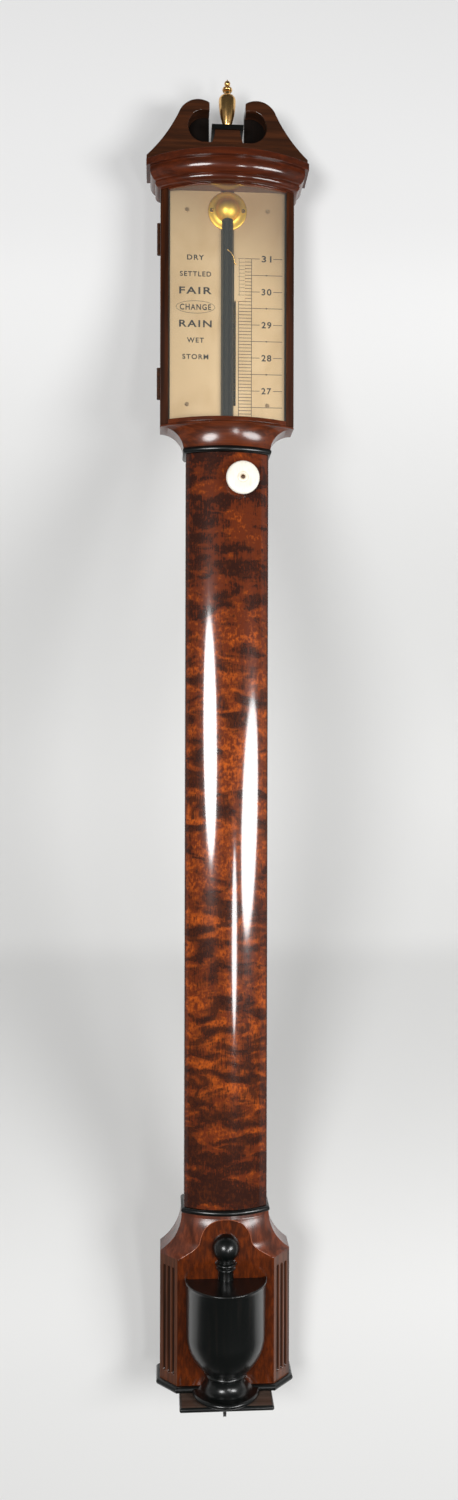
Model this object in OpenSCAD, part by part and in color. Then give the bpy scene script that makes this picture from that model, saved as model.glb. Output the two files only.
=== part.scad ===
/* [Head] */
// Outer width of the head case
head_w = 102.8; // [98:0.2:112]
// Height of the head case, from the base moulding to the cornice
head_h = 180.2; // [176:0.1:200]
// Radius of the bowed door front
head_bow_r = 95; // [90:1:120]
// Distance of the door front from the wall
head_front = 37; // [36:0.5:42]
// Thickness of the head sides
head_side_t = 6.6; // [6:0.1:7.4]
// Drop of the hanging hole below the cornice
hang_drop = 25; // [18:0.5:40]
// Thickness of the long backboard
back_t = 9; // [8:0.5:9.5]

/* [Cornice and pediment] */
// Height of the small ovolo under the cornice
small_ovolo_h = 4.5; // [4.2:0.1:6]
// Projection of the small ovolo
small_ovolo_p = 4.1; // [3:0.1:4.2]
// Height of the main ovolo
main_ovolo_h = 11.5; // [10:0.1:14]
// Projection of the main ovolo past the head
main_ovolo_p = 8.6; // [7:0.1:9.5]
// Radius of the main ovolo
main_ovolo_r = 9; // [8.6:0.1:12]
// Height of the top fillet
top_fillet_h = 4.5; // [3:0.1:7]
// Projection of the top fillet past the head
top_fillet_p = 10.8; // [10:0.1:13]
// Thickness of the fretted swan-neck board
swan_t = 12; // [8:0.5:12.5]
// Thickness of the dark backing board
backing_t = 8; // [5:0.5:8.5]
// Height of the scroll centre above the cornice
scroll_rise = 35; // [32:0.5:42]
// Distance of the scroll centre from the middle
scroll_x = 22.3; // [20:0.1:26]
// Radius of the scroll
scroll_r = 16.2; // [14:0.1:17]
// Radius of the hollow of the swan neck
neck_hollow_r = 115; // [95:1:130]
// Height of the pediment tip above the cornice
tip_h = 7; // [4:0.1:9]
// Half width of the gap between the scrolls
scroll_gap = 13.8; // [12.5:0.1:15]
// Height of the gap floor above the cornice
gap_floor = 18.5; // [15:0.5:20]
// Radius of the round cut-out under each scroll
fret_r = 12.2; // [9:0.1:12.4]
// Distance of the cut-out centre from the middle
fret_x = 18; // [16:0.1:19]
// Width of the finial plinth
plinth_w = 21.5; // [16:0.5:22]
// Height of the finial plinth
plinth_h = 9.5; // [5:0.5:12]
// Height of the plinth cap
cap_h = 3.4; // [3:0.1:8]
// Overhang of the plinth cap
cap_over = 1.4; // [0.5:0.1:1.8]
// Height of the finial
finial_h = 38.5; // [34:0.5:42]
// Largest radius of the finial
finial_r = 6.6; // [5:0.1:7]

/* [Register] */
// Thickness of the register board
register_t = 11; // [10.5:0.1:11.5]
// Thickness of the silvered plates
plate_t = 1.5; // [1:0.1:1.6]
// Width over both plates
plate_w = 88; // [84:0.2:88.4]
// Drop of the top mark of the scale below the cornice
scale_drop = 50.9; // [48:0.1:56]
// Width of the vernier plate
vernier_w = 8.3; // [6:0.1:10]
// Height of the vernier plate
vernier_h = 33; // [28:0.5:38]
// Thickness of the vernier plate
vernier_t = 1; // [0.6:0.1:1.4]
// Width of the slot beside the tube
slot_w = 1.7; // [1.4:0.1:2]
// Travel of the vernier
vernier_travel = 80; // [40:1:82]
// Radius of the brass dome over the tube end
dome_r = 9.2; // [8.8:0.1:9.8]
// Radius of the dome flange
dome_flange_r = 14.8; // [13.5:0.1:16]
// Drop of the dome centre below the cornice
dome_drop = 15.2; // [15.1:0.1:20]

/* [Door] */
// Gap round the closed door
door_gap = 0.3; // [0.3:0.05:0.6]
// Distance of the door joint from the wall
door_joint = 13; // [12:0.1:14]
// Width of the door stiles
stile_w = 6.2; // [5.6:0.1:6.4]
// Height of the door rails
rail_h = 3.5; // [3:0.1:6]
// Thickness of the door rails
rail_t = 3.6; // [3:0.1:3.8]
// Thickness of the bowed glass
glass_t = 1.6; // [1.2:0.1:1.8]
// Set-back of the glass behind the door front
glass_set = 1; // [0.6:0.1:1.2]
// Depth of the glass in its grooves
glass_in = 1.6; // [1:0.1:2]
// Radius of the hinge knuckles
knuckle_r = 1.6; // [1.4:0.1:2]
// Radius of the hinge pins
hinge_pin_r = 0.8; // [0.6:0.05:0.9]
// Height of one hinge
hinge_h = 24; // [18:1:32]
// Distance of the hinges from the ends of the door
hinge_inset = 22; // [10:1:40]

/* [Trunk] */
// Width of the trunk
trunk_w = 63.4; // [62:0.2:68]
// Height of the trunk
trunk_h = 574.3; // [560:0.1:585]
// Radius of the bowed trunk front
trunk_bow_r = 61; // [56:1:80]
// Distance of the trunk front from the wall
trunk_front = 33.7; // [33:0.1:36]
// Thickness of the trunk sides
trunk_wall = 6; // [4:0.5:8]
// Height of the cove block under the head
neck_h = 17.5; // [16:0.1:22]
// Height of the fillet on the cove block
neck_fillet_h = 1.2; // [1:0.1:3]
// Height of the bead under the cove block
upper_bead_h = 5; // [4:0.1:7]
// Height of the bead at the foot of the trunk
lower_bead_h = 4.5; // [3:0.1:6]
// Projection of the beads
bead_p = 2.2; // [1.6:0.1:3]

/* [Base] */
// Width of the base box
base_w = 99.4; // [96:0.2:106]
// Height of the base box
base_h = 95.3; // [90:0.1:100]
// Depth of the base sides
base_side_d = 19.7; // [18:0.1:21]
// Distance of the base front from the wall
base_front = 32.7; // [32:0.1:33.2]
// Thickness of the base sides and front panel
base_wall = 5; // [4:0.1:6]
// Height of the coved shoulder
shoulder_h = 32.5; // [30:0.5:36]
// Height of the plain foot of the shoulder sides
shoulder_foot = 2; // [1:0.5:6]
// Slope of the shoulder front, in width for each unit of height
shoulder_slope = 0.11; // [0.08:0.01:0.14]
// Radius of the cove at the foot of the shoulder front
shoulder_cove_r = 14; // [12:0.5:16]
// Rise of the cove on the canted corners
cant_cove_in = 9.3; // [8:0.1:9.6]
// Number of flutes on each canted corner
flutes = 3; // [2:1:4]
// Radius of the flutes
flute_r = 1.5; // [1:0.1:1.6]
// Distance of the flute ends from the ends of the corner
flute_margin = 8.5; // [7:0.5:20]
// Height of the plinth moulding
base_plinth_h = 5.2; // [4:0.1:7]
// Projection of the plinth moulding
base_plinth_p = 2.8; // [2:0.1:4]
// Width of the shelf under the urn
shelf_w = 69; // [60:0.5:72]
// Thickness of the shelf
shelf_t = 3.3; // [3:0.1:5]
// Distance of the shelf edge from the base front
shelf_p = 20.6; // [18:0.1:24]

/* [Urn] */
// Radius of the urn rim
urn_r = 31.2; // [29:0.1:32]
// Taper of the urn wall below the rim
urn_taper = 1.3; // [0.5:0.1:2]
// Depth of the urn rim below the base shoulder
urn_drop = 14; // [12:0.1:16]
// Height of the straight wall of the urn
urn_wall_h = 37; // [34:0.5:39]
// Height of the rounded bottom of the urn
urn_round_h = 28; // [26:0.5:30]
// Radius where the bowl meets the foot
urn_neck_r = 15; // [13:0.1:16]
// Thickness of the urn wall
urn_t = 4; // [3:0.1:4.5]
// Radius of the urn foot
urn_foot_r = 25.6; // [23:0.1:27]
// Thickness of the disc of the urn foot
urn_foot_t = 4; // [3:0.1:5]
// Radius of the ball on the urn lid
ball_r = 9.8; // [8:0.1:10.4]
// Height of the stem under the ball
ball_stem_h = 13.9; // [12:0.1:16]
// Radius of the ball stem
ball_stem_r = 5.9; // [5:0.1:6.5]

/* [Tube and cistern] */
// Outer diameter of the glass tube
tube_d = 9; // [8:0.1:9.2]
// Bore of the glass tube
tube_bore = 5; // [3:0.1:5.5]
// Distance of the tube axis from the wall
tube_depth = 22.5; // [22:0.1:23]
// Drop of the cistern level below the base top; it lies 31 inches below the top mark of the scale
level_drop = 24.3; // [23:0.1:26]
// Depth of the tube end below the cistern level
tube_dip = 22; // [15:0.5:24]
// Outer radius of the cistern
cistern_r = 16; // [14:0.1:16.5]
// Wall of the cistern
cistern_wall = 3.5; // [2.5:0.1:4]
// Height of the cistern wall above the mercury level
cistern_above = 4.6; // [3.5:0.1:4.8]
// Height of the cistern wall below the mercury level
cistern_below = 33; // [30:0.5:34]
// Thickness of the cistern cap
cistern_cap_t = 3.6; // [3:0.1:3.8]
// Height of the leather bag
bag_h = 12; // [10:0.5:14]
// Travel of the portable screw
screw_travel = 6; // [3:0.5:7]
// Lead of the portable screw thread
screw_lead = 1.25; // [0.8:0.05:2]
// Radius of the portable screw
screw_r = 3; // [2.5:0.1:3.5]
// Radius of the pad on the portable screw
pad_r = 8; // [6:0.1:9]
// Thickness of the pad
pad_t = 3; // [2:0.1:4]
// Length of the squared tail below the shelf
tail_l = 21; // [15:0.5:30]
// Width across the flats of the squared tail
tail_w = 2.4; // [2:0.1:3.5]

/* [Setting works] */
// Module of the rack and pinion
gear_m = 0.75; // [0.7:0.01:0.78]
// Teeth of the pinion
pinion_teeth = 12; // [11:1:13]
// Face width of the rack and pinion
gear_face = 3.4; // [2.5:0.1:3.6]
// Distance of the setting knob from the middle
knob_x = 11; // [10.6:0.1:11.4]
// Drop of the knob below the top of the trunk
knob_drop = 20.8; // [18:0.1:26]
// Radius of the setting knob
knob_r = 12.6; // [10:0.1:14]
// Height of the setting knob rim and dome
knob_t = 7; // [5:0.1:9]
// Radius of the pinion arbor
arbor_r = 1.6; // [1.4:0.1:2]
// Running clearance of the arbor and the portable screw
run_fit = 0.06; // [0.03:0.01:0.09]

/* [Hanging plate] */
// Width of the hanging plate
hanger_w = 26; // [22:0.5:32]
// Height of the hanging plate
hanger_h = 40; // [34:0.5:44]
// Thickness of the hanging plate
hanger_t = 2; // [1.5:0.1:2.5]
// Diameter of the hanging hole
hang_d = 7; // [5:0.1:9]

/* [Hidden] */
$fn = 64;

// Overshoot of a cutting tool past the face that it cuts
cut = 1;
// Clearance between pieces that move past each other
clear = 0.3;
// Clearance of a piece that is let into another
seat = 0.1;

// Heights, from the hanging hole
z_cornice = hang_drop;
cornice_h = small_ovolo_h + main_ovolo_h + top_fillet_h;
z_pediment = z_cornice + cornice_h;
z_gap = z_pediment + gap_floor;
z_scroll = z_pediment + scroll_rise;
z_cap = z_gap + plinth_h;
z_finial = z_cap + cap_h;
z_head = z_cornice - head_h;
z_upper_bead = z_head - neck_h;
z_trunk_top = z_upper_bead - upper_bead_h;
z_trunk_foot = z_trunk_top - trunk_h;
z_shoulder_top = z_trunk_foot - lower_bead_h;
z_base_top = z_shoulder_top - shoulder_h;
z_base_foot = z_base_top - base_h;
z_shelf_top = z_base_foot - base_plinth_h;
z_shelf_foot = z_shelf_top - shelf_t;
z_top_mark = z_cornice - scale_drop;
z_level = z_base_top - level_drop;
z_dome = z_cornice - dome_drop;
z_knob = z_trunk_top - knob_drop;
z_rim = z_base_top - urn_drop;
z_urn_round = z_rim - urn_wall_h;
z_urn_neck = z_urn_round - urn_round_h;

// Half widths and depths
head_half = head_w / 2;
trunk_half = trunk_w / 2;
base_half = base_w / 2;
plate_half = plate_w / 2;
plate_back = back_t + register_t;
plate_front = plate_back + plate_t;
trunk_inner = trunk_half - trunk_wall;
panel_half = base_half - (base_front - base_side_d);
cant_reach = (base_half + base_side_d) / sqrt(2);
tip_x = head_half + top_fillet_p;
head_inner = head_half - head_side_t;

// Tube, slot, rack and pinion
tube_r = tube_d / 2;
tube_edge = tube_r + clear + seat;
slot_x = tube_edge + slot_w;
slot_top = z_top_mark + clear + seat;
slot_foot = z_top_mark - vernier_h - vernier_travel - clear;
pinion_r = gear_m * pinion_teeth / 2;
gear_pitch = PI * gear_m;
gear_play = 0.08;
rack_x = knob_x - pinion_r;
rack_addendum = 0.5;
rack_dedendum = 1.25 * gear_m;
rack_body = 2.6;
rack_back = rack_x - rack_dedendum - rack_body;
rack_front_d = back_t + clear + gear_face;
rack_foot = z_knob - 4 * gear_pitch;
rack_teeth = ceil(vernier_travel / gear_pitch) + 8;
rack_top = z_top_mark - vernier_h / 2;
channel_left = rack_back - clear;
channel_right = rack_x + rack_addendum + clear;
channel_d = rack_front_d + clear;
pinion_tip_r = pinion_r + gear_m;
pinion_root_r = pinion_r - rack_addendum - 0.25;
recess_foot = rack_foot - vernier_travel - 10 * clear;
recess_right = knob_x + pinion_tip_r + 2 * clear;
recess_d = tube_depth + tube_r + 3 * clear;
arbor_back = back_t / 3;
bush_r = 2 * arbor_r;

// Trunk and base mouldings
trunk_axis = trunk_bow_r - trunk_front;
head_axis = head_bow_r - head_front;
neck_foot_half = trunk_half + bead_p - 0.5;

// Door and hinges
z_door_foot = z_head + door_gap;
z_door_top = z_cornice - door_gap;
glass_r = head_bow_r - glass_set;
glass_half = head_half - stile_w + glass_in;
leaf_t = 0.9;
leaf_w = 5.6;
hinge_x = -head_half - 0.6 * knuckle_r;
hinge_d = door_joint + door_gap / 2;
hinge_places = [z_door_foot + hinge_inset, z_door_top - hinge_inset - hinge_h];

// Small screws
screw_shank = 1.6;
screw_l = 6;
plate_screw_l = 6;
plate_screw_x = [-31, 31];
plate_screw_z = [z_cornice - 14.5, z_head + 16.5];
plate_screw_places = [for (x = plate_screw_x, z = plate_screw_z) [x, z]];
dome_t = 1.2;
dome_screw_x = (dome_r + dome_flange_r) / 2;
hanger_pitch = 0.7 * hanger_h;

// Vernier pointer, rack keeper and setting knob
pointer_h = 1.2;
pointer_t = 0.7;
keeper_h = 16;
keeper_lip = 1.2;
keeper_screw_x = -tube_edge / 2;
keeper_screw_l = back_t / 2;
works_d = channel_d + keeper_lip + clear;
knob_back = bow(trunk_bow_r, trunk_front, knob_x) + 3 * clear;
knob_stem_h = 3;

// Finial
finial_d = backing_t + swan_t / 2;
finial_top_h = 12.5;
finial_shoulder_h = 4;
finial_waist_h = 3;
finial_waist_r = 2.1;
finial_neck_r = 1.4;
finial_foot_r = 2.2;
finial_collar_r = 3.9;
finial_collar_h = 3.2;
finial_ball_r = 2.3;
finial_tip_h = 0.9;
finial_tip_r = 0.5;
finial_peg_l = 0.8 * cap_h;

// Tube and cistern heights
z_tube_top = z_dome + tube_r / 2;
z_tube_foot = z_level - tube_dip;
z_cistern_top = z_level + cistern_above;
z_cistern_foot = z_level - cistern_below;
z_bag_foot = z_cistern_foot - bag_h;
z_pad = z_bag_foot - clear - pad_t;
screw_bush_r = 2 * screw_r;

// Shoulder and urn
arch_in = 0.4;
shoulder_r = trunk_axis + base_front - arch_in;
cant_foot = 2;
lid_t = 3;
lid_drop = 0.8;
lid_in = 2.1;
lid_r = urn_r - lid_in;

// Depth of a bowed front at a distance x from the middle
function bow(r, front, x) = front - r + sqrt(r * r - x * x);
// Centre of the circle that touches the scroll and passes the pediment tip
function hollow_centre(a, b, ra, rb) =
    let (d = norm(b - a),
        u = (b - a) / d,
        along = (ra * ra - rb * rb + d * d) / (2 * d),
        up = sqrt(ra * ra - along * along))
    a + along * u + up * [-u[1], u[0]];
// Radius of a circle that leaves a line square and meets a point in and down from it
function tangent_r(in, down) = (in * in + down * down) / (2 * in);
// Involute angle at a radius outside the base circle, in degrees
function involute(base, r) = tan(acos(base / r)) * 180 / PI - acos(base / r);

// Box from its lowest to its highest corner, with y as the distance from the wall
module block(x0, x1, d0, d1, z0, z1) {
    translate([x0, -d1, z0])
        cube([x1 - x0, d1 - d0, z1 - z0]);
}

// Turned piece on a vertical axis at a distance from the wall
module upright(x, d) {
    translate([x, -d, 0])
        rotate_extrude()
            children();
}

// Cylinder that points out of the wall, between two distances from it
module peg(x, z, r, d0, d1) {
    translate([x, -d0, z])
        rotate([90, 0, 0])
            cylinder(r = r, h = d1 - d0);
}

// Plan of a bow-fronted block
module bow_plan(half, r, front) {
    intersection() {
        translate([-half, -front - cut])
            square([2 * half, front + cut]);
        translate([0, r - front])
            circle(r = r, $fn = 180);
    }
}

// Moulded block whose section runs along both sides and round the bowed front, mitred at the corners
module bow_moulding(half, r, front, depth) {
    intersection() {
        translate([0, r - front, 0])
            rotate_extrude($fn = 180)
                let ($w = r) children();
        rotate([90, 0, 0])
            linear_extrude(depth)
                let ($w = half) both_ways() children();
    }
}

// A section and its mirror image
module both_ways() {
    children();
    mirror([1, 0])
        children();
}

// Straight section that faces out of the wall, turned about the vertical
module front_prism(turn) {
    rotate([0, 0, turn])
        mirror([0, 1, 0])
            rotate([90, 0, 90])
                linear_extrude(4 * base_w, center = true)
                    children();
}

// Moulded block on the canted plan of the base
module canted_moulding() {
    intersection() {
        rotate([90, 0, 0])
            linear_extrude(base_w)
                let ($w = base_half) both_ways() children();
        front_prism(0)
            let ($w = base_front) children();
        for_cants()
            let ($w = cant_reach) children();
    }
}

// Both canted corners as one intersection of two straight sections
module for_cants() {
    intersection() {
        front_prism(45)
            both_ways() children();
        front_prism(-45)
            both_ways() children();
    }
}

// Round-edged section: a half-round bead on a flat
module bead_section(z, h, p) {
    translate([0, z])
        square([$w, h]);
    translate([$w + p - h / 2, z + h / 2])
        circle(d = h);
}

// Space behind the trunk and mouldings for the tube
module tube_passage(z0, z1) {
    block(-tube_edge - clear, tube_edge + clear, back_t - cut, recess_d, z0, z1);
}

// Space for the tube, the rack and the pinion
module works_passage(z0, z1) {
    tube_passage(z0, z1);
    block(channel_left - clear, recess_right, back_t - cut, works_d, z0, z1);
}

// Slot of the backboard in a moulding of the trunk's width
module back_rebate(z0, z1) {
    block(-trunk_inner - seat, trunk_inner + seat, -cut, back_t, z0, z1);
}

// Countersunk wood screw with a slot, head outwards, at a distance from the wall
module wood_screw(x, z, d, r, length) {
    translate([x, -d, z])
        rotate([90, 0, 0])
            difference() {
                union() {
                    translate([0, 0, -length])
                        cylinder(r = r / 2, h = length);
                    cylinder(r = r, h = r / 3);
                }
                translate([-r - cut, -r / 8, r / 6])
                    cube([2 * r + 2 * cut, r / 4, r]);
            }
}

// Long backboard with the hanging pocket, the arbor bore and the cistern hollow
module backboard() {
    color("saddlebrown")
        difference() {
            union() {
                block(-head_inner, head_inner, 0, back_t, z_head, z_cornice);
                block(-trunk_inner, trunk_inner, 0, back_t, z_base_top - cut, z_head + cut);
                block(-base_half + base_wall, base_half - base_wall, 0, back_t, z_base_foot, z_base_top);
            }
            block(-hanger_w / 2 - seat, hanger_w / 2 + seat, -cut, hanger_t,
                -hanger_h / 2 - seat, hanger_h / 2 + seat);
            peg(0, 0, hang_d, hanger_t - cut, back_t - hanger_t);
            peg(knob_x, z_knob, arbor_r + run_fit, arbor_back, back_t + cut);
            cistern_room();
            for (s = [-1, 1]) {
                peg(0, s * hanger_pitch / 2, screw_shank + seat, hanger_t - cut, hanger_t + screw_l + seat);
                peg(keeper_screw_x, z_knob + s * keeper_h / 4, screw_shank / 2 + seat,
                    back_t - keeper_screw_l, back_t + cut);
            }
        }
}

// Board that carries the silvered plates, with the channels of the tube and the rack
module register_board() {
    color("peru")
        difference() {
            block(-plate_half, plate_half, back_t, plate_back, z_head, z_cornice);
            translate([0, -tube_depth, z_head - cut])
                cylinder(r = tube_edge, h = z_tube_top + clear - z_head + cut);
            block(channel_left, channel_right, back_t - cut, channel_d, z_head - cut, rack_top + clear);
            block(channel_left, slot_x, channel_d - cut, channel_d + clear, slot_foot, slot_top);
            block(tube_edge, slot_x, channel_d - cut, plate_back + cut, slot_foot, slot_top);
            for (p = plate_screw_places)
                peg(p[0], p[1], screw_shank / 2 + seat, plate_back - plate_screw_l, plate_back + cut);
            for (s = [-1, 1])
                peg(s * dome_screw_x, z_dome, screw_shank / 2 + seat,
                    plate_front - plate_screw_l, plate_front + cut);
        }
}

// One side of the head case
module head_side(s) {
    block(min(s * head_inner, s * head_half), max(s * head_inner, s * head_half),
        0, door_joint, z_head, z_cornice);
}

module head_side_left() {
    color("saddlebrown")
        difference() {
            head_side(-1);
            hinge_recesses(door_joint - leaf_t - seat, door_joint + cut);
        }
}

module head_side_right() {
    color("saddlebrown")
        head_side(1);
}

// Section of the cornice: small ovolo, main ovolo and top fillet
module cornice_section() {
    translate([0, z_cornice])
        square([$w, cornice_h]);
    intersection() {
        translate([0, z_cornice])
            square([$w + small_ovolo_p, small_ovolo_h]);
        translate([$w, z_cornice + small_ovolo_h])
            circle(r = small_ovolo_p);
    }
    intersection() {
        translate([0, z_cornice + small_ovolo_h])
            square([$w + main_ovolo_p, main_ovolo_h]);
        translate([$w + main_ovolo_p - main_ovolo_r, z_cornice + small_ovolo_h + main_ovolo_r])
            circle(r = main_ovolo_r);
    }
    translate([0, z_cornice + small_ovolo_h + main_ovolo_h])
        square([$w + top_fillet_p, top_fillet_h]);
}

module cornice() {
    color("sienna")
        bow_moulding(head_half, head_bow_r, head_front, head_front + 2 * top_fillet_p)
            cornice_section();
}

// Right half of the swan-neck outline: scroll, hollow neck and tip
module swan_half() {
    hollow = hollow_centre([scroll_x, z_scroll], [tip_x, z_pediment + tip_h],
        scroll_r + neck_hollow_r, neck_hollow_r);
    reach = hollow - [scroll_x, z_scroll];
    touch = [scroll_x, z_scroll] + reach * scroll_r / norm(reach);
    difference() {
        union() {
            translate([scroll_x, z_scroll])
                circle(r = scroll_r);
            difference() {
                translate([0, z_pediment])
                    square([tip_x, touch[1] - z_pediment]);
                translate(hollow)
                    circle(r = neck_hollow_r, $fn = 180);
            }
        }
        translate([-scroll_gap, z_gap])
            square([2 * scroll_gap, 2 * scroll_rise]);
    }
}

// Round cut-out under a scroll, open towards the middle
module fret() {
    translate([fret_x, z_gap + fret_r])
        circle(r = fret_r);
    translate([0, z_gap])
        square([fret_x, 2 * fret_r]);
}

module pediment_front() {
    color("saddlebrown")
        translate([0, -backing_t, 0])
            rotate([90, 0, 0])
                linear_extrude(swan_t)
                    both_ways()
                        difference() {
                            swan_half();
                            fret();
                        }
}

module pediment_backing() {
    color([0.16, 0.07, 0.04])
        rotate([90, 0, 0])
            linear_extrude(backing_t)
                both_ways()
                    swan_half();
}

// Block between the scrolls, in the depth of both boards
module finial_plinth() {
    color("saddlebrown")
        block(-plinth_w / 2, plinth_w / 2, 0, backing_t + swan_t, z_gap, z_cap);
}

module plinth_cap() {
    color([0.05, 0.05, 0.05])
        difference() {
            block(-plinth_w / 2 - cap_over, plinth_w / 2 + cap_over,
                0, backing_t + swan_t + cap_over, z_cap, z_finial);
            translate([0, -finial_d, z_finial - finial_peg_l - seat])
                cylinder(r = finial_neck_r + seat, h = finial_peg_l + cut);
        }
}

// Outline of the turned finial: vase, waist, collar, ball and point
module finial_outline() {
    vase_top = finial_h - finial_top_h;
    belly = vase_top - finial_shoulder_h;
    vase_r = tangent_r(finial_r - finial_foot_r, belly);
    shoulder_r = tangent_r(finial_r - finial_foot_r, finial_shoulder_h);
    intersection() {
        square([finial_r, belly]);
        translate([finial_r - vase_r, belly])
            circle(r = vase_r, $fn = 180);
    }
    intersection() {
        translate([0, belly])
            square([finial_r, finial_shoulder_h]);
        translate([finial_r - shoulder_r, belly])
            circle(r = shoulder_r);
    }
    translate([0, -finial_peg_l])
        square([finial_neck_r, finial_h + finial_peg_l - finial_ball_r]);
    translate([0, vase_top])
        square([finial_waist_r, finial_waist_h + finial_collar_h / 2]);
    translate([finial_collar_r - finial_collar_h / 2, vase_top + finial_waist_h + finial_collar_h / 2])
        circle(d = finial_collar_h);
    translate([0, finial_h - finial_tip_h - finial_ball_r])
        intersection() {
            translate([0, -finial_ball_r])
                square([finial_ball_r, 2 * finial_ball_r]);
            circle(r = finial_ball_r);
        }
    translate([0, finial_h - finial_ball_r])
        square([finial_tip_r, finial_ball_r]);
}

module finial() {
    color("gold")
        translate([0, 0, z_finial])
            upright(0, finial_d)
                finial_outline();
}

// Cove block under the head: each level blends the bow of the door into the bow of the trunk
module head_base_moulding() {
    cove_h = neck_h - neck_fillet_h;
    cove_w = head_half - neck_foot_half;
    cove_r = tangent_r(cove_h, cove_w);
    turn = asin(cove_w / cove_r);
    steps = 10;
    across = 24;
    levels = concat(
        [for (i = [0 : steps]) let (a = turn * (1 - i / steps))
            [cove_r * sin(a), z_upper_bead + cove_h - cove_r * (1 - cos(a))]],
        [[0, z_head]]);
    ring = across + 3;
    points = [for (v = levels) let (w = head_half - v[0], c = v[0] / cove_w)
        each concat([[-w, 0, v[1]]],
            [for (j = [0 : across]) let (s = 2 * j / across - 1)
                [s * w, -(1 - c) * bow(head_bow_r, head_front, s * head_half)
                    - c * bow(trunk_bow_r, trunk_front + bead_p - 0.5, s * neck_foot_half), v[1]]],
            [[w, 0, v[1]]])];
    sides = [for (k = [0 : len(levels) - 2], j = [0 : ring - 1])
        let (a = k * ring + j, b = k * ring + (j + 1) % ring)
        each [[a, a + ring, b + ring], [a, b + ring, b]]];
    foot = [for (j = [0 : ring - 1]) j];
    top = [for (j = [0 : ring - 1]) len(points) - 1 - j];
    color("sienna")
        difference() {
            polyhedron(points, concat(sides, [foot, top]));
            back_rebate(z_upper_bead - cut, z_head + cut);
            works_passage(z_upper_bead - cut, z_head + cut);
        }
}

module upper_bead() {
    color([0.04, 0.04, 0.04])
        difference() {
            bow_moulding(trunk_half, trunk_bow_r, trunk_front, 2 * trunk_front)
                bead_section(z_trunk_top, upper_bead_h, bead_p);
            back_rebate(z_trunk_top - cut, z_upper_bead + cut);
            works_passage(z_trunk_top - cut, z_upper_bead + cut);
        }
}

// Silvered plate between two edges, with its screw holes
module register_plate(x0, x1) {
    difference() {
        block(x0, x1, plate_back, plate_front, z_head, z_cornice);
        for (p = plate_screw_places)
            peg(p[0], p[1], screw_shank / 2 + seat, plate_back - cut, plate_front + cut);
        for (s = [-1, 1])
            peg(s * dome_screw_x, z_dome, screw_shank / 2 + seat, plate_back - cut, plate_front + cut);
    }
}

module register_plate_left() {
    color("wheat")
        register_plate(-plate_half, -tube_edge);
}

module register_plate_right() {
    color("wheat")
        difference() {
            register_plate(tube_edge, plate_half);
            block(tube_edge - cut, slot_x, plate_back - cut, plate_front + cut, slot_foot, slot_top);
        }
}

module register_screws() {
    color("darkgoldenrod")
        for (p = plate_screw_places)
            wood_screw(p[0], p[1], plate_front, screw_shank, plate_screw_l);
}

// Brass dome over the tube end, on a flange that lies on both plates
module tube_dome() {
    color("goldenrod")
        difference() {
            union() {
                peg(0, z_dome, dome_flange_r, plate_front, plate_front + dome_t);
                intersection() {
                    translate([0, -plate_front, z_dome])
                        sphere(r = dome_r);
                    block(-dome_r, dome_r, plate_front, plate_front + dome_r, z_dome - dome_r, z_dome + dome_r);
                }
            }
            translate([0, -plate_front, z_dome])
                sphere(r = dome_r - dome_t);
            translate([0, -tube_depth, z_dome - 2 * dome_flange_r])
                cylinder(r = tube_edge, h = 2 * dome_flange_r);
            for (s = [-1, 1])
                peg(s * dome_screw_x, z_dome, screw_shank / 2 + seat,
                    plate_front - cut, plate_front + dome_t + cut);
        }
}

module dome_screws() {
    color("darkgoldenrod")
        for (s = [-1, 1])
            wood_screw(s * dome_screw_x, z_dome, plate_front + dome_t, screw_shank, plate_screw_l);
}

// Glass tube, closed and rounded at its top
module barometer_tube() {
    color("dimgray")
        difference() {
            union() {
                translate([0, -tube_depth, z_tube_foot])
                    cylinder(r = tube_r, h = z_tube_top - tube_r - z_tube_foot);
                translate([0, -tube_depth, z_tube_top - tube_r])
                    sphere(r = tube_r);
            }
            translate([0, -tube_depth, z_tube_foot - cut])
                cylinder(d = tube_bore, h = z_tube_top - tube_r - z_tube_foot + cut);
            translate([0, -tube_depth, z_tube_top - tube_r])
                sphere(d = tube_bore);
        }
}

module mercury_column() {
    color("silver")
        translate([0, -tube_depth, z_tube_foot])
            cylinder(d = tube_bore - 2 * seat, h = z_top_mark - z_tube_foot);
}

// Ring plan between two radii about the axis of the bowed door
module door_ring(r0, r1, half) {
    intersection() {
        difference() {
            bow_plan(half, r1, head_front - head_bow_r + r1);
            translate([0, head_axis])
                circle(r = r0, $fn = 180);
        }
        translate([-half, -2 * head_front])
            square([2 * half, 2 * head_front - door_joint]);
    }
}

// Groove for the edges of the glass
module glass_groove() {
    translate([0, 0, z_door_foot + rail_h - glass_in - seat])
        linear_extrude(z_door_top - z_door_foot - 2 * rail_h + 2 * glass_in + 2 * seat)
            door_ring(glass_r - glass_t - seat, glass_r + seat, glass_half + seat);
}

module door_stile(s) {
    difference() {
        translate([0, 0, z_door_foot])
            linear_extrude(z_door_top - z_door_foot)
                intersection() {
                    bow_plan(head_half, head_bow_r, head_front);
                    translate([s > 0 ? head_half - stile_w : -head_half, -2 * head_front])
                        square([stile_w, 2 * head_front - door_joint - door_gap]);
                }
        glass_groove();
    }
}

module door_stile_left() {
    color("saddlebrown")
        difference() {
            door_stile(-1);
            hinge_recesses(door_joint + door_gap - cut, door_joint + door_gap + leaf_t + seat);
        }
}

module door_stile_right() {
    color("saddlebrown")
        door_stile(1);
}

module door_rail(z) {
    difference() {
        translate([0, 0, z])
            linear_extrude(rail_h)
                door_ring(head_bow_r - rail_t, head_bow_r, head_half - stile_w);
        glass_groove();
    }
}

module door_top_rail() {
    color("saddlebrown")
        door_rail(z_door_top - rail_h);
}

module door_bottom_rail() {
    color("saddlebrown")
        door_rail(z_door_foot);
}

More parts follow.
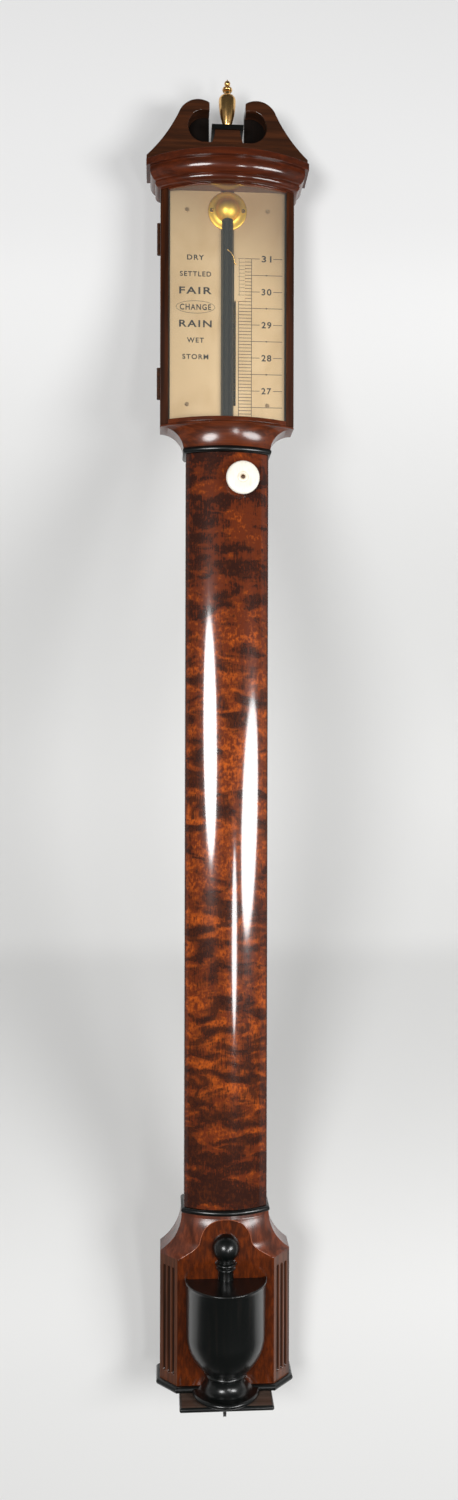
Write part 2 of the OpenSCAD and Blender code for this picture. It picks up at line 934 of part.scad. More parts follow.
module door_glass() {
    color([0.8, 0.9, 0.9, 0.3])
        translate([0, 0, z_door_foot + rail_h - glass_in])
            linear_extrude(z_door_top - z_door_foot - 2 * rail_h + 2 * glass_in)
                door_ring(glass_r - glass_t, glass_r, glass_half);
}

// Space cut in the wood for the leaves and knuckles of both hinges
module hinge_recesses(d0, d1) {
    for (z = hinge_places) {
        block(-head_half - cut, hinge_x + leaf_w + seat, d0, d1, z - seat, z + hinge_h + seat);
        translate([hinge_x, -hinge_d, z - clear])
            cylinder(r = knuckle_r + clear, h = hinge_h + 2 * clear);
    }
}

// One hinge leaf with its share of the knuckles, each a span of heights
module hinge_leaf(z, d0, d1, spans, bore) {
    difference() {
        union() {
            block(hinge_x + knuckle_r + clear, hinge_x + leaf_w, d0, d1, z, z + hinge_h);
            for (v = spans) {
                translate([hinge_x, -hinge_d, z + v[0]])
                    cylinder(r = knuckle_r, h = v[1] - v[0]);
                block(hinge_x, hinge_x + knuckle_r + 2 * clear, d0, d1, z + v[0], z + v[1]);
            }
        }
        translate([hinge_x, -hinge_d, z - cut])
            cylinder(r = bore, h = hinge_h + 2 * cut);
    }
}

module hinge_case_leaves() {
    color("goldenrod")
        for (z = hinge_places)
            hinge_leaf(z, door_joint - leaf_t, door_joint,
                [[0, hinge_h / 3 - seat], [2 * hinge_h / 3 + seat, hinge_h]], hinge_pin_r + run_fit / 3);
}

module hinge_door_leaves() {
    color("goldenrod")
        for (z = hinge_places)
            hinge_leaf(z, door_joint + door_gap, door_joint + door_gap + leaf_t,
                [[hinge_h / 3 + seat, 2 * hinge_h / 3 - seat]], hinge_pin_r + run_fit);
}

module hinge_pins() {
    color("darkgoldenrod")
        for (z = hinge_places)
            translate([hinge_x, -hinge_d, z])
                cylinder(r = hinge_pin_r, h = hinge_h);
}

// Vernier plate and the stem that joins it to the rack through the slot
module vernier_plate() {
    color("wheat") {
        block(tube_edge + clear, tube_edge + clear + vernier_w, plate_front + clear,
            plate_front + clear + vernier_t, z_top_mark - vernier_h, z_top_mark);
        block(tube_edge + clear, slot_x - clear, rack_front_d, plate_front + clear,
            z_top_mark - vernier_h, z_top_mark);
    }
}

// Curved pointer that passes round the front of the tube
module vernier_pointer() {
    front = plate_front + clear + vernier_t;
    color("goldenrod") {
        intersection() {
            translate([0, -tube_depth, z_top_mark - pointer_h])
                difference() {
                    cylinder(r = tube_edge + pointer_t, h = pointer_h);
                    translate([0, 0, -cut])
                        cylinder(r = tube_edge, h = pointer_h + 2 * cut);
                }
            block(-tube_d, tube_d, front, front + tube_d, z_top_mark - pointer_h, z_top_mark);
        }
        block(tube_edge, tube_edge + vernier_w / 3, front, front + pointer_t,
            z_top_mark - pointer_h, z_top_mark);
    }
}

// Straight-sided rack tooth on the pitch line, pointing away from the middle
module rack_tooth() {
    half = gear_pitch / 4 - gear_play / 2;
    rise = tan(20);
    polygon([[-rack_dedendum, -half - rise * rack_dedendum], [rack_addendum, -half + rise * rack_addendum],
        [rack_addendum, half - rise * rack_addendum], [-rack_dedendum, half + rise * rack_dedendum]]);
}

module rack() {
    teeth_top = rack_foot + rack_teeth * gear_pitch;
    color("goldenrod")
        translate([0, -back_t - clear, 0])
            rotate([90, 0, 0])
                linear_extrude(gear_face) {
                    translate([rack_back, rack_foot])
                        square([rack_body, rack_top - rack_foot]);
                    translate([rack_back, teeth_top])
                        square([rack_x - rack_back, rack_top - teeth_top]);
                    for (i = [0 : rack_teeth - 1])
                        translate([rack_x, rack_foot + (i + 0.5) * gear_pitch])
                            rack_tooth();
                }
}

// Brass keeper that holds the rack to the pinion
module rack_keeper() {
    color("goldenrod")
        difference() {
            union() {
                block(-tube_edge, rack_back - clear, back_t, channel_d + keeper_lip,
                    z_knob - keeper_h / 2, z_knob + keeper_h / 2);
                block(rack_back - clear, rack_back + rack_body / 2, channel_d, channel_d + keeper_lip,
                    z_knob - keeper_h / 2, z_knob + keeper_h / 2);
            }
            for (s = [-1, 1])
                peg(keeper_screw_x, z_knob + s * keeper_h / 4, screw_shank / 2 + seat,
                    back_t - cut, channel_d + keeper_lip + cut);
        }
}

module keeper_screws() {
    color("darkgoldenrod")
        for (s = [-1, 1])
            wood_screw(keeper_screw_x, z_knob + s * keeper_h / 4, channel_d + keeper_lip,
                screw_shank, keeper_screw_l - back_t / 2 + channel_d + keeper_lip - back_t);
}

// One flank of a pinion tooth, from the root to the tip
function flank(s) =
    let (base = pinion_r * cos(20),
        half = (gear_pitch / 2 - gear_play) / (2 * pinion_r) * 180 / PI + involute(base, pinion_r),
        steps = 4)
    [for (i = [-1 : steps])
        let (r = i < 0 ? pinion_root_r : base + (pinion_tip_r - base) * i / steps,
            a = s * (half - involute(base, max(r, base))))
        [r * cos(a), r * sin(a)]];

module pinion() {
    low = flank(-1);
    high = flank(1);
    tooth = concat(low, [for (i = [len(high) - 1 : -1 : 0]) high[i]]);
    color("goldenrod")
        translate([knob_x, -back_t - clear, z_knob])
            rotate([90, 0, 0])
                linear_extrude(gear_face)
                    difference() {
                        union() {
                            circle(r = pinion_root_r);
                            for (i = [0 : pinion_teeth - 1])
                                rotate(180 + 360 * i / pinion_teeth)
                                    polygon(concat([[0, 0]], tooth));
                        }
                        circle(r = arbor_r + seat / 5);
                    }
}

module pinion_arbor() {
    color("darkgoldenrod")
        peg(knob_x, z_knob, arbor_r, arbor_back + clear, knob_back + knob_stem_h + knob_t / 2);
}

// Bush of the arbor in the trunk front
module arbor_bush() {
    color("goldenrod")
        difference() {
            peg(knob_x, z_knob, bush_r, works_d, knob_back - clear);
            peg(knob_x, z_knob, arbor_r + run_fit, works_d - cut, knob_back + cut);
        }
}

// Turned knob: stem, rim and shallow dome with two rings round the centre
module setting_knob() {
    rim = knob_t * 0.6;
    dome = tangent_r(knob_t - rim, knob_r);
    color("ivory")
        translate([knob_x, -knob_back, z_knob])
            rotate([90, 0, 0])
                difference() {
                    union() {
                        cylinder(r = knob_r / 2, h = knob_stem_h);
                        translate([0, 0, knob_stem_h])
                            rotate_extrude()
                                intersection() {
                                    square([knob_r, knob_t]);
                                    translate([0, knob_t - dome])
                                        circle(r = dome, $fn = 180);
                                    translate([knob_r - rim / 2, rim / 2])
                                        knob_edge(rim);
                                }
                    }
                    translate([0, 0, -cut])
                        cylinder(r = arbor_r + seat / 5, h = knob_stem_h + knob_t + 2 * cut);
                }
}

// Rounded edge of the knob, filled towards the centre
module knob_edge(rim) {
    circle(r = rim / 2);
    translate([-2 * knob_r, -rim / 2])
        square([2 * knob_r, rim]);
    translate([-2 * knob_r, 0])
        square([2 * knob_r - rim / 4, knob_t]);
}

module knob_peg() {
    color("sienna")
        peg(knob_x, z_knob, arbor_r, knob_back + knob_stem_h + knob_t / 2, knob_back + knob_stem_h + knob_t - clear);
}

// Bow-fronted trunk, hollowed for the backboard, the tube and the setting works
module trunk_front() {
    color([0.45, 0.18, 0.08])
        difference() {
            translate([0, 0, z_trunk_foot])
                linear_extrude(trunk_h)
                    bow_plan(trunk_half, trunk_bow_r, trunk_front);
            back_rebate(z_trunk_foot - cut, z_trunk_top + cut);
            tube_passage(z_trunk_foot - cut, z_trunk_top + cut);
            works_passage(recess_foot, z_trunk_top + cut);
            peg(knob_x, z_knob, bush_r + seat, works_d - cut, trunk_front + cut);
        }
}

module lower_bead() {
    color([0.04, 0.04, 0.04])
        difference() {
            bow_moulding(trunk_half, trunk_bow_r, trunk_front, 2 * trunk_front)
                bead_section(z_shoulder_top, lower_bead_h, bead_p);
            back_rebate(z_shoulder_top - cut, z_trunk_foot + cut);
            tube_passage(z_shoulder_top - cut, z_trunk_foot + cut);
        }
}

// Section of the bowed shoulder front: a slope that ends in a cove
module shoulder_front_section() {
    run = shoulder_slope * (shoulder_h - shoulder_cove_r) + shoulder_cove_r;
    polygon([[0, z_base_top], [shoulder_r + shoulder_slope * shoulder_h, z_base_top],
        [shoulder_r, z_shoulder_top], [0, z_shoulder_top]]);
    translate([shoulder_r, z_base_top])
        difference() {
            square([run, shoulder_cove_r]);
            translate([run, shoulder_cove_r])
                circle(r = shoulder_cove_r);
        }
}

// Section of a shoulder side that is hollowed from its top edge down to a plain foot
module shoulder_side_section(reach, in, foot) {
    hollow_r = tangent_r(in, shoulder_h - foot);
    difference() {
        translate([0, z_base_top])
            square([reach, shoulder_h]);
        translate([reach - in + hollow_r, z_shoulder_top])
            circle(r = hollow_r, $fn = 180);
    }
}

// Coved shoulder: the bowed cove, both sides and both cants, cut off flat in front to an ogee arch
module base_shoulder() {
    color("sienna")
        difference() {
            intersection() {
                translate([0, trunk_axis, 0])
                    rotate_extrude($fn = 180)
                        shoulder_front_section();
                rotate([90, 0, 0])
                    linear_extrude(base_front)
                        both_ways()
                            shoulder_side_section(base_half, base_half - neck_foot_half, shoulder_foot);
                for_cants()
                    shoulder_side_section(cant_reach, cant_cove_in, cant_foot);
            }
            back_rebate(z_base_top - cut, z_shoulder_top + cut);
            tube_passage(z_base_top - cut, z_shoulder_top + cut);
        }
}

module base_side(s) {
    inner = base_half - base_wall;
    block(s > 0 ? inner : -base_half, s > 0 ? base_half : -inner, 0, base_side_d, z_base_foot, z_base_top);
}

module base_side_left() {
    color("saddlebrown")
        base_side(-1);
}

module base_side_right() {
    color("saddlebrown")
        base_side(1);
}

// Room for the cistern, and below it for the bag and the pad
module cistern_room() {
    translate([0, -tube_depth, z_cistern_foot - clear])
        cylinder(r = cistern_r + clear, h = z_cistern_top + cistern_cap_t + 2 * clear - z_cistern_foot);
    translate([0, -tube_depth, z_pad - clear])
        cylinder(r = max(cistern_r - cistern_wall, pad_r) + clear, h = z_cistern_foot - z_pad);
}

module base_front_panel() {
    color("chocolate")
        difference() {
            block(-panel_half, panel_half, base_front - base_wall, base_front, z_base_foot, z_base_top);
            cistern_room();
        }
}

// Canted corner with its row of flutes, on the right
module fluted_corner() {
    edge = [base_half, -base_side_d];
    along = [panel_half, -base_front] - edge;
    difference() {
        translate([0, 0, z_base_foot])
            linear_extrude(base_h)
                polygon([edge, edge + along, edge + along + [0, base_wall], edge - [base_wall, 0]]);
        for (i = [1 : flutes])
            translate(edge + along * i / (flutes + 1))
                flute();
    }
}

// Round-ended upright groove
module flute() {
    translate([0, 0, z_base_foot + flute_margin])
        cylinder(r = flute_r, h = base_h - 2 * flute_margin);
    for (z = [z_base_foot + flute_margin, z_base_top - flute_margin])
        translate([0, 0, z])
            sphere(r = flute_r);
}

module fluted_corner_left() {
    color("sienna")
        mirror([1, 0, 0])
            fluted_corner();
}

module fluted_corner_right() {
    color("sienna")
        fluted_corner();
}

// Bottom board with a round edge on the canted plan
module base_plinth_moulding() {
    color([0.04, 0.04, 0.04])
        difference() {
            canted_moulding()
                bead_section(z_shelf_top, base_plinth_h, base_plinth_p);
            bush_hole();
        }
}

module bush_hole() {
    translate([0, -tube_depth, z_shelf_foot - cut])
        cylinder(r = screw_bush_r + seat, h = z_base_foot - z_shelf_foot + 2 * cut);
}

// Shelf with a round front edge
module urn_shelf() {
    color("saddlebrown")
        difference() {
            translate([shelf_w / 2, 0, z_shelf_foot])
                mirror([0, 1, 0])
                    rotate([90, 0, 90])
                        mirror([0, 0, 1])
                            linear_extrude(shelf_w) {
                                square([base_front + shelf_p - shelf_t / 2, shelf_t]);
                                translate([base_front + shelf_p - shelf_t / 2, shelf_t / 2])
                                    circle(d = shelf_t);
                            }
            bush_hole();
        }
}

// Front half of a turned piece that stands against the base front
module half_turned() {
    intersection() {
        upright(0, base_front)
            children();
        block(-base_w, base_w, base_front, base_front + base_w, z_shelf_foot, z_shoulder_top);
    }
}

// Outline of the bowl at a distance inside its outer face
module bowl_outline(inset) {
    wall_r = urn_r - urn_taper;
    round_r = tangent_r(wall_r - urn_neck_r, urn_round_h);
    polygon([[0, z_urn_round], [wall_r - inset, z_urn_round], [urn_r - inset, z_rim], [0, z_rim]]);
    intersection() {
        translate([0, z_urn_neck + inset])
            square([urn_r, urn_round_h - inset]);
        translate([wall_r - round_r, z_urn_round])
            circle(r = round_r - inset, $fn = 180);
    }
}

module urn_bowl() {
    color([0.03, 0.03, 0.03])
        half_turned()
            difference() {
                bowl_outline(0);
                bowl_outline(urn_t);
                translate([0, z_rim - lid_drop - lid_t - seat])
                    square([lid_r + seat, lid_drop + lid_t + 2 * cut]);
            }
}

module urn_lid() {
    color([0.06, 0.04, 0.04])
        difference() {
            half_turned()
                translate([0, z_rim - lid_drop - lid_t])
                    square([lid_r, lid_t]);
            cistern_room();
        }
}

// Ball on a ringed stem
module urn_finial() {
    color([0.03, 0.03, 0.03])
        half_turned()
            translate([0, z_rim - lid_drop])
                intersection() {
                    square([ball_r, ball_stem_h + 2 * ball_r]);
                    union() {
                        square([ball_stem_r, ball_stem_h]);
                        translate([0, ball_stem_h + ball_r * 0.9])
                            circle(r = ball_r);
                        translate([ball_stem_r, ball_stem_h * 0.88])
                            circle(r = 0.3 * ball_stem_r);
                    }
                }
}

// Neck ring, flared foot and round disc
module urn_foot() {
    foot_h = z_urn_neck - z_shelf_top;
    neck_r = urn_neck_r - 1.2;
    ring_r = 2.2;
    flare_r = min(urn_foot_r - urn_foot_t / 2 - neck_r, foot_h - urn_foot_t - 2 * ring_r);
    color([0.03, 0.03, 0.03])
        difference() {
            half_turned()
                translate([0, z_shelf_top]) {
                    square([neck_r, foot_h]);
                    translate([neck_r - ring_r / 2, foot_h - ring_r])
                        circle(r = ring_r);
                    translate([0, urn_foot_t])
                        difference() {
                            square([neck_r + flare_r, flare_r]);
                            translate([neck_r + flare_r, flare_r])
                                circle(r = flare_r);
                        }
                    square([urn_foot_r - urn_foot_t / 2, urn_foot_t]);
                    translate([urn_foot_r - urn_foot_t / 2, urn_foot_t / 2])
                        circle(d = urn_foot_t);
                }
            block(-base_half, base_half, 0, base_front + base_plinth_p + seat,
                z_shelf_top - cut, z_base_foot + seat);
        }
}

module cistern_body() {
    color("burlywood")
        translate([0, -tube_depth, z_cistern_foot])
            difference() {
                cylinder(r = cistern_r, h = z_cistern_top - z_cistern_foot);
                translate([0, 0, -cut])
                    cylinder(r = cistern_r - cistern_wall, h = z_cistern_top - z_cistern_foot + 2 * cut);
            }
}

module cistern_cap() {
    color("burlywood")
        translate([0, -tube_depth, z_cistern_top])
            difference() {
                cylinder(r = cistern_r, h = cistern_cap_t);
                translate([0, 0, -cut])
                    cylinder(r = tube_r + seat / 5, h = cistern_cap_t + 2 * cut);
            }
}

// Mercury in the cistern, round the dipping end of the tube
module cistern_mercury() {
    color("silver")
        translate([0, -tube_depth, z_cistern_foot])
            difference() {
                cylinder(r = cistern_r - cistern_wall - seat, h = cistern_below);
                translate([0, 0, cistern_below - tube_dip - seat])
                    cylinder(r = tube_r + seat, h = tube_dip + cut);
            }
}

// Closed leather bag under the cistern, round at the bottom
module leather_bag() {
    bag_r = cistern_r - cistern_wall;
    color("tan")
        translate([0, 0, z_bag_foot])
            upright(0, tube_depth) {
                square([bag_r - bag_h / 2, bag_h]);
                translate([bag_r - bag_h / 2, bag_h / 2])
                    intersection() {
                        circle(d = bag_h);
                        translate([0, -bag_h])
                            square([bag_h, bag_h]);
                    }
                translate([0, bag_h / 2])
                    square([bag_r, bag_h / 2]);
            }
}

module screw_pad() {
    color("burlywood")
        translate([0, -tube_depth, z_pad])
            cylinder(r = pad_r, h = pad_t);
}

module screw_bush() {
    color("goldenrod")
        translate([0, -tube_depth, z_shelf_foot])
            difference() {
                cylinder(r = screw_bush_r, h = z_base_foot - z_shelf_foot);
                translate([0, 0, -cut])
                    cylinder(r = screw_r + run_fit, h = z_base_foot - z_shelf_foot + 2 * cut);
            }
}

// Portable screw with a squared tail
module portable_screw() {
    color("slategray")
        translate([0, -tube_depth, 0]) {
            translate([0, 0, z_shelf_foot - screw_travel])
                cylinder(r = screw_r, h = z_pad - clear - z_shelf_foot + screw_travel);
            translate([-tail_w / 2, -tail_w / 2, z_shelf_foot - tail_l])
                cube([tail_w, tail_w, tail_l]);
        }
}

module hanger_plate() {
    color("goldenrod")
        difference() {
            block(-hanger_w / 2, hanger_w / 2, 0, hanger_t, -hanger_h / 2, hanger_h / 2);
            peg(0, 0, hang_d / 2, -cut, hanger_t + cut);
            for (s = [-1, 1])
                peg(0, s * hanger_pitch / 2, 2 * screw_shank + seat, -cut, hanger_t + cut);
        }
}

// Slotted screws whose heads lie flush in the hanging plate
module hanger_screws() {
    color("darkgoldenrod")
        for (s = [-1, 1])
            difference() {
                union() {
                    peg(0, s * hanger_pitch / 2, 2 * screw_shank, seat, hanger_t);
                    peg(0, s * hanger_pitch / 2, screw_shank, hanger_t - seat, hanger_t + screw_l);
                }
                block(-hanger_w, hanger_w, -cut, hanger_t / 2,
                    s * hanger_pitch / 2 - screw_shank / 5, s * hanger_pitch / 2 + screw_shank / 5);
            }
}

backboard();
register_board();
head_side_left();
head_side_right();
cornice();
pediment_front();
pediment_backing();
finial_plinth();
plinth_cap();
finial();
head_base_moulding();
upper_bead();
register_plate_left();
register_plate_right();
register_screws();
tube_dome();
dome_screws();
barometer_tube();
mercury_column();
door_stile_left();
door_stile_right();
door_top_rail();
door_bottom_rail();
door_glass();
hinge_case_leaves();
hinge_door_leaves();
hinge_pins();
vernier_plate();
vernier_pointer();
rack();
rack_keeper();
keeper_screws();
pinion();
pinion_arbor();
arbor_bush();
setting_knob();
knob_peg();
trunk_front();
lower_bead();
base_shoulder();
base_side_left();
base_side_right();
base_front_panel();
fluted_corner_left();
fluted_corner_right();
base_plinth_moulding();
urn_shelf();
urn_bowl();
urn_lid();
urn_finial();
urn_foot();
cistern_body();
cistern_cap();
cistern_mercury();
leather_bag();
screw_pad();
screw_bush();
portable_screw();
hanger_plate();
hanger_screws();
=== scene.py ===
"""A bow-front stick barometer before a pale wall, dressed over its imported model.

Sizes are in millimetres in the part's own frame: x to the right, y into the wall and z up, from
the hanging hole on the back plane. A depth is a distance in front of the wall, so it is minus y.
Sizes become metres when a mesh is made.
"""

import logging
import math
from dataclasses import dataclass
from enum import Enum
from typing import Any, Callable, ClassVar, Sequence, Union

import bmesh
import bpy
import numpy as np
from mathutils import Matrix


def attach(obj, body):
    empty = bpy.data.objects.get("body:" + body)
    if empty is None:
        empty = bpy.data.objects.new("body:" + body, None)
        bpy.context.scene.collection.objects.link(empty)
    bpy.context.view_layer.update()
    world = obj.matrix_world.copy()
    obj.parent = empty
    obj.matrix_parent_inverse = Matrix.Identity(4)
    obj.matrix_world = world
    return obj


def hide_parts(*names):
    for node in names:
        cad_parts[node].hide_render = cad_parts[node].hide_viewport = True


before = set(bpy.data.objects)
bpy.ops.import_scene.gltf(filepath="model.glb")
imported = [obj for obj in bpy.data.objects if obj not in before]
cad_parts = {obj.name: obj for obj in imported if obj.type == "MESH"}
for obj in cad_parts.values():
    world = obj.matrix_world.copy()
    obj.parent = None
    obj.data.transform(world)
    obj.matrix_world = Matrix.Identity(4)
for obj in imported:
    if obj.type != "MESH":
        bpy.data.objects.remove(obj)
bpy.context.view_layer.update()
LOG = logging.getLogger("barometer")
MM = 0.001
INCH = 25.4
ROOT_TWO = math.sqrt(2.0)
PHOTO_HEIGHT = 1500
SOCKETS = {
    "metal": "Metallic",
    "specular": "Specular IOR Level",
    "coat": "Coat Weight",
    "coat_rough": "Coat Roughness",
    "coat_ior": "Coat IOR",
    "alpha": "Alpha",
    "glow": "Emission Color",
    "glow_strength": "Emission Strength",
    "normal": "Normal",
}

Screen = tuple[int, int, int]
Point = tuple[float, float, float]
Pair = tuple[float, float]
Number = Union[float, "Term"]
Array = np.ndarray
Material = bpy.types.Material


def paint(screen: Screen) -> tuple[float, ...]:
    """Turns a screen colour into a shader colour.

    Args:
        screen: Red, green and blue on the screen, from 0 to 255.

    Returns:
        The linear colour with full alpha.
    """
    levels = np.array(screen) / 255.0
    linear = np.where(levels <= 0.04045, levels / 12.92, ((levels + 0.055) / 1.055) ** 2.4)
    return (*linear.tolist(), 1.0)


def tint(colour: Any) -> Any:
    """The shader colour of a screen colour, or the Term that it already is."""
    return colour if isinstance(colour, Term) else paint(colour)


def math_node(operation: str, swapped: bool = False) -> Callable[..., "Term"]:
    """Makes a method of Term that adds one Math node.

    Args:
        operation: The node's operation.
        swapped: Whether the other value comes first.

    Returns:
        The method.
    """

    def apply(self: "Term", other: Number = 0.0) -> "Term":
        """The operation on self and other."""
        first, second = (other, self) if swapped else (self, other)
        return self.recipe.term("ShaderNodeMath", {"operation": operation}, {0: first, 1: second})

    return apply


@dataclass
class Term:
    """A shader value that takes part in Python sums; each operator adds one Math node."""

    recipe: "Recipe"
    socket: bpy.types.NodeSocket

    __add__ = __radd__ = math_node("ADD")
    __sub__, __rsub__ = math_node("SUBTRACT"), math_node("SUBTRACT", swapped=True)
    __mul__ = __rmul__ = math_node("MULTIPLY")
    __pow__ = math_node("POWER")
    __abs__ = math_node("ABSOLUTE")
    least, most = math_node("MINIMUM"), math_node("MAXIMUM")

    def ramp(self, low: float, high: float) -> "Term":
        """Rises smoothly from 0 at low to 1 at high."""
        values = {"Value": self, "From Min": low, "From Max": high}
        return self.recipe.term("ShaderNodeMapRange", {"interpolation_type": "SMOOTHSTEP"}, values)


class Recipe:
    """One material while it is put together."""

    def __init__(self, name: str) -> None:
        """Starts an empty material.

        Args:
            name: Name of the material.
        """
        self.material = bpy.data.materials.new(name)
        self.material.use_nodes = True
        self.tree = self.material.node_tree
        self.tree.nodes.clear()

    def node(
        self, kind: str, settings: dict[str, Any], sockets: dict[Union[str, int], Any]
    ) -> bpy.types.Node:
        """Adds any node.

        Args:
            kind: The node's type.
            settings: Its settings, which are set before its sockets.
            sockets: The value or Term of each socket that isn't left as it comes.

        Returns:
            The new node.
        """
        made = self.tree.nodes.new(kind)
        for key, value in settings.items():
            setattr(made, key, value)
        for key, value in sockets.items():
            if isinstance(value, Term):
                self.tree.links.new(value.socket, made.inputs[key])
            else:
                made.inputs[key].default_value = value
        return made

    def term(
        self,
        kind: str,
        settings: dict[str, Any],
        sockets: dict[Union[str, int], Any],
        output: Union[str, int] = 0,
    ) -> Term:
        """Adds a node and gives one of its outputs as a Term."""
        return Term(self, self.node(kind, settings, sockets).outputs[output])

    def spot(self) -> Term:
        """The point on the piece, in its own frame and in metres."""
        return self.term("ShaderNodeTexCoord", {}, {}, "Object")

    def axis(self, name: str) -> Term:
        """One coordinate of the point on the piece, in metres: X, Y or Z."""
        return self.term("ShaderNodeSeparateXYZ", {}, {0: self.spot()}, name)

    def noise(self, stretch: Point, detail: float, warp: float = 0.0, lift: float = 0.0) -> Term:
        """Soft noise about 0.5.

        Args:
            stretch: Factors on x, y and z, in 1/m, which say about how often the noise repeats.
            detail: Number of finer layers.
            warp: How far the noise distorts itself.
            lift: What is added to the stretched height.

        Returns:
            The noise, mostly from 0.25 to 0.75.
        """
        values = {0: self.spot(), 1: stretch, 2: (0.0, 0.0, lift)}
        at = self.term("ShaderNodeVectorMath", {"operation": "MULTIPLY_ADD"}, values)
        values = {"Vector": at, "Scale": 1.0, "Roughness": 0.55}
        values |= {"Detail": detail, "Distortion": warp}
        return self.term("ShaderNodeTexNoise", {}, values)

    def blend(self, share: Number, first: Any, second: Any) -> Term:
        """Mixes two colours, with share of the second."""
        values = {0: share, 6: tint(first), 7: tint(second)}
        return self.term("ShaderNodeMix", {"data_type": "RGBA"}, values, 2)

    def bump(self, height: Term, depth: float, strength: float) -> Term:
        """A normal that follows a height from 0 to 1, which is really so deep in millimetres."""
        values = {"Strength": strength, "Distance": depth * MM, "Height": height}
        return self.term("ShaderNodeBump", {}, values)

    def finish(self, colour: Any, rough: Number, **others: Any) -> Material:
        """Ends the material with a surface shader.

        Args:
            colour: Its base colour.
            rough: Its roughness.
            others: Values of further sockets, by their names in SOCKETS.

        Returns:
            The material.
        """
        values = {SOCKETS[name]: value for name, value in others.items()}
        values |= {"Base Color": tint(colour), "Roughness": rough}
        surface = self.term("ShaderNodeBsdfPrincipled", {}, values)
        self.node("ShaderNodeOutputMaterial", {}, {"Surface": surface})
        return self.material


class Grain(Enum):
    """Which way the grain of a board runs."""

    UPRIGHT = (1.0, 1.0, 0.045)
    MOTTLED = (1.0, 1.0, 0.3)
    ACROSS = (0.045, 1.0, 1.0)

    def stretch(self, per_metre: float) -> Point:
        """Factors on x, y and z for a pattern that repeats that often across the grain."""
        return tuple(per_metre * share for share in self.value)


@dataclass(frozen=True)
class Finish:
    """A finish, which is made into a material once and then shared.

    The slot is the record's material slot that the finish belongs to, or empty where it has none.
    """

    name: str
    slot: str
    made: ClassVar[dict[str, Material]] = {}

    def material(self) -> Material:
        """Makes the material of this finish, if it isn't there yet.

        Returns:
            The material.
        """
        if self.name not in self.made:
            self.made[self.name] = self.mix(Recipe(self.name))
        return self.made[self.name]

    def mix(self, recipe: Recipe) -> Material:
        """Puts the material together in a recipe.

        Args:
            recipe: The empty material.

        Returns:
            The finished material.
        """
        raise NotImplementedError


@dataclass(frozen=True)
class PolishedMahogany(Finish):
    """French-polished mahogany: streaks, shadows and pores along the grain under a clear gloss."""

    light: Screen = (88, 43, 18)
    middle: Screen = (56, 26, 11)
    dark: Screen = (26, 13, 7)
    grain: Grain = Grain.ACROSS
    figure: float = 0.7
    coat: float = 0.8
    haze: float = 0.1

    def tones(self, recipe: Recipe) -> tuple[Any, ...]:
        """The light, the middle and the dark colour."""
        return self.light, self.middle, self.dark

    def mix(self, recipe: Recipe) -> Material:
        """Streaks lie between the middle and the light colour, shadows and pores near the dark.

        Args:
            recipe: The empty material.

        Returns:
            The finished material.
        """
        light, middle, dark = self.tones(recipe)
        streak = recipe.noise(self.grain.stretch(420.0), 4.0, 0.3).ramp(0.34, 0.7)
        shadow = recipe.noise(self.grain.stretch(95.0), 3.0, 1.1).ramp(0.42, 0.72)
        pore = recipe.noise(self.grain.stretch(2600.0), 1.0).ramp(0.6, 0.72)
        wood = recipe.blend(streak * self.figure, middle, light)
        wood = recipe.blend(shadow * self.figure, wood, dark)
        wood = recipe.blend(pore * 0.45, wood, dark)
        relief = recipe.bump(pore, 0.04, 0.5)
        gloss = {"specular": 0.12, "coat": self.coat, "coat_rough": self.haze}
        return recipe.finish(wood, 0.3 + 0.1 * pore, normal=relief, **gloss)


@dataclass(frozen=True)
class ShoulderMahogany(PolishedMahogany):
    """Shoulder mahogany: panel veneer on its flat front, another wood with a painted sheen in its
    hollows.
    """

    flat: float = -32.65

    def tones(self, recipe: Recipe) -> tuple[Any, ...]:
        """Each colour changes over where the surface reaches the flat front.

        Args:
            recipe: The material, while it is put together.

        Returns:
            The light, the middle and the dark colour.
        """
        share = recipe.axis("Y").ramp((self.flat + 0.05) * MM, self.flat * MM)
        pairs = zip(super().tones(recipe), PANEL_MAHOGANY.tones(recipe))
        return tuple(recipe.blend(share, own, other) for own, other in pairs)


@dataclass(frozen=True)
class FlutedMahogany(PolishedMahogany):
    """Mahogany of the cants, darkened in the flutes, partly by dust and partly by painted shade.
    """

    face: float = 69.4
    floor: float = 67.6

    def tones(self, recipe: Recipe) -> tuple[Any, ...]:
        """Each colour goes towards the dark one where width plus depth falls below the face.

        Args:
            recipe: The material, while it is put together.

        Returns:
            The light, the middle and the dark colour.
        """
        reach = abs(recipe.axis("X")) - recipe.axis("Y")
        # darker in the flutes: partly dust, partly painted shade in the hollows
        share = 0.8 - 0.8 * reach.ramp(self.floor * MM, (self.face - 0.1) * MM)
        return tuple(recipe.blend(share, own, self.dark) for own in super().tones(recipe))


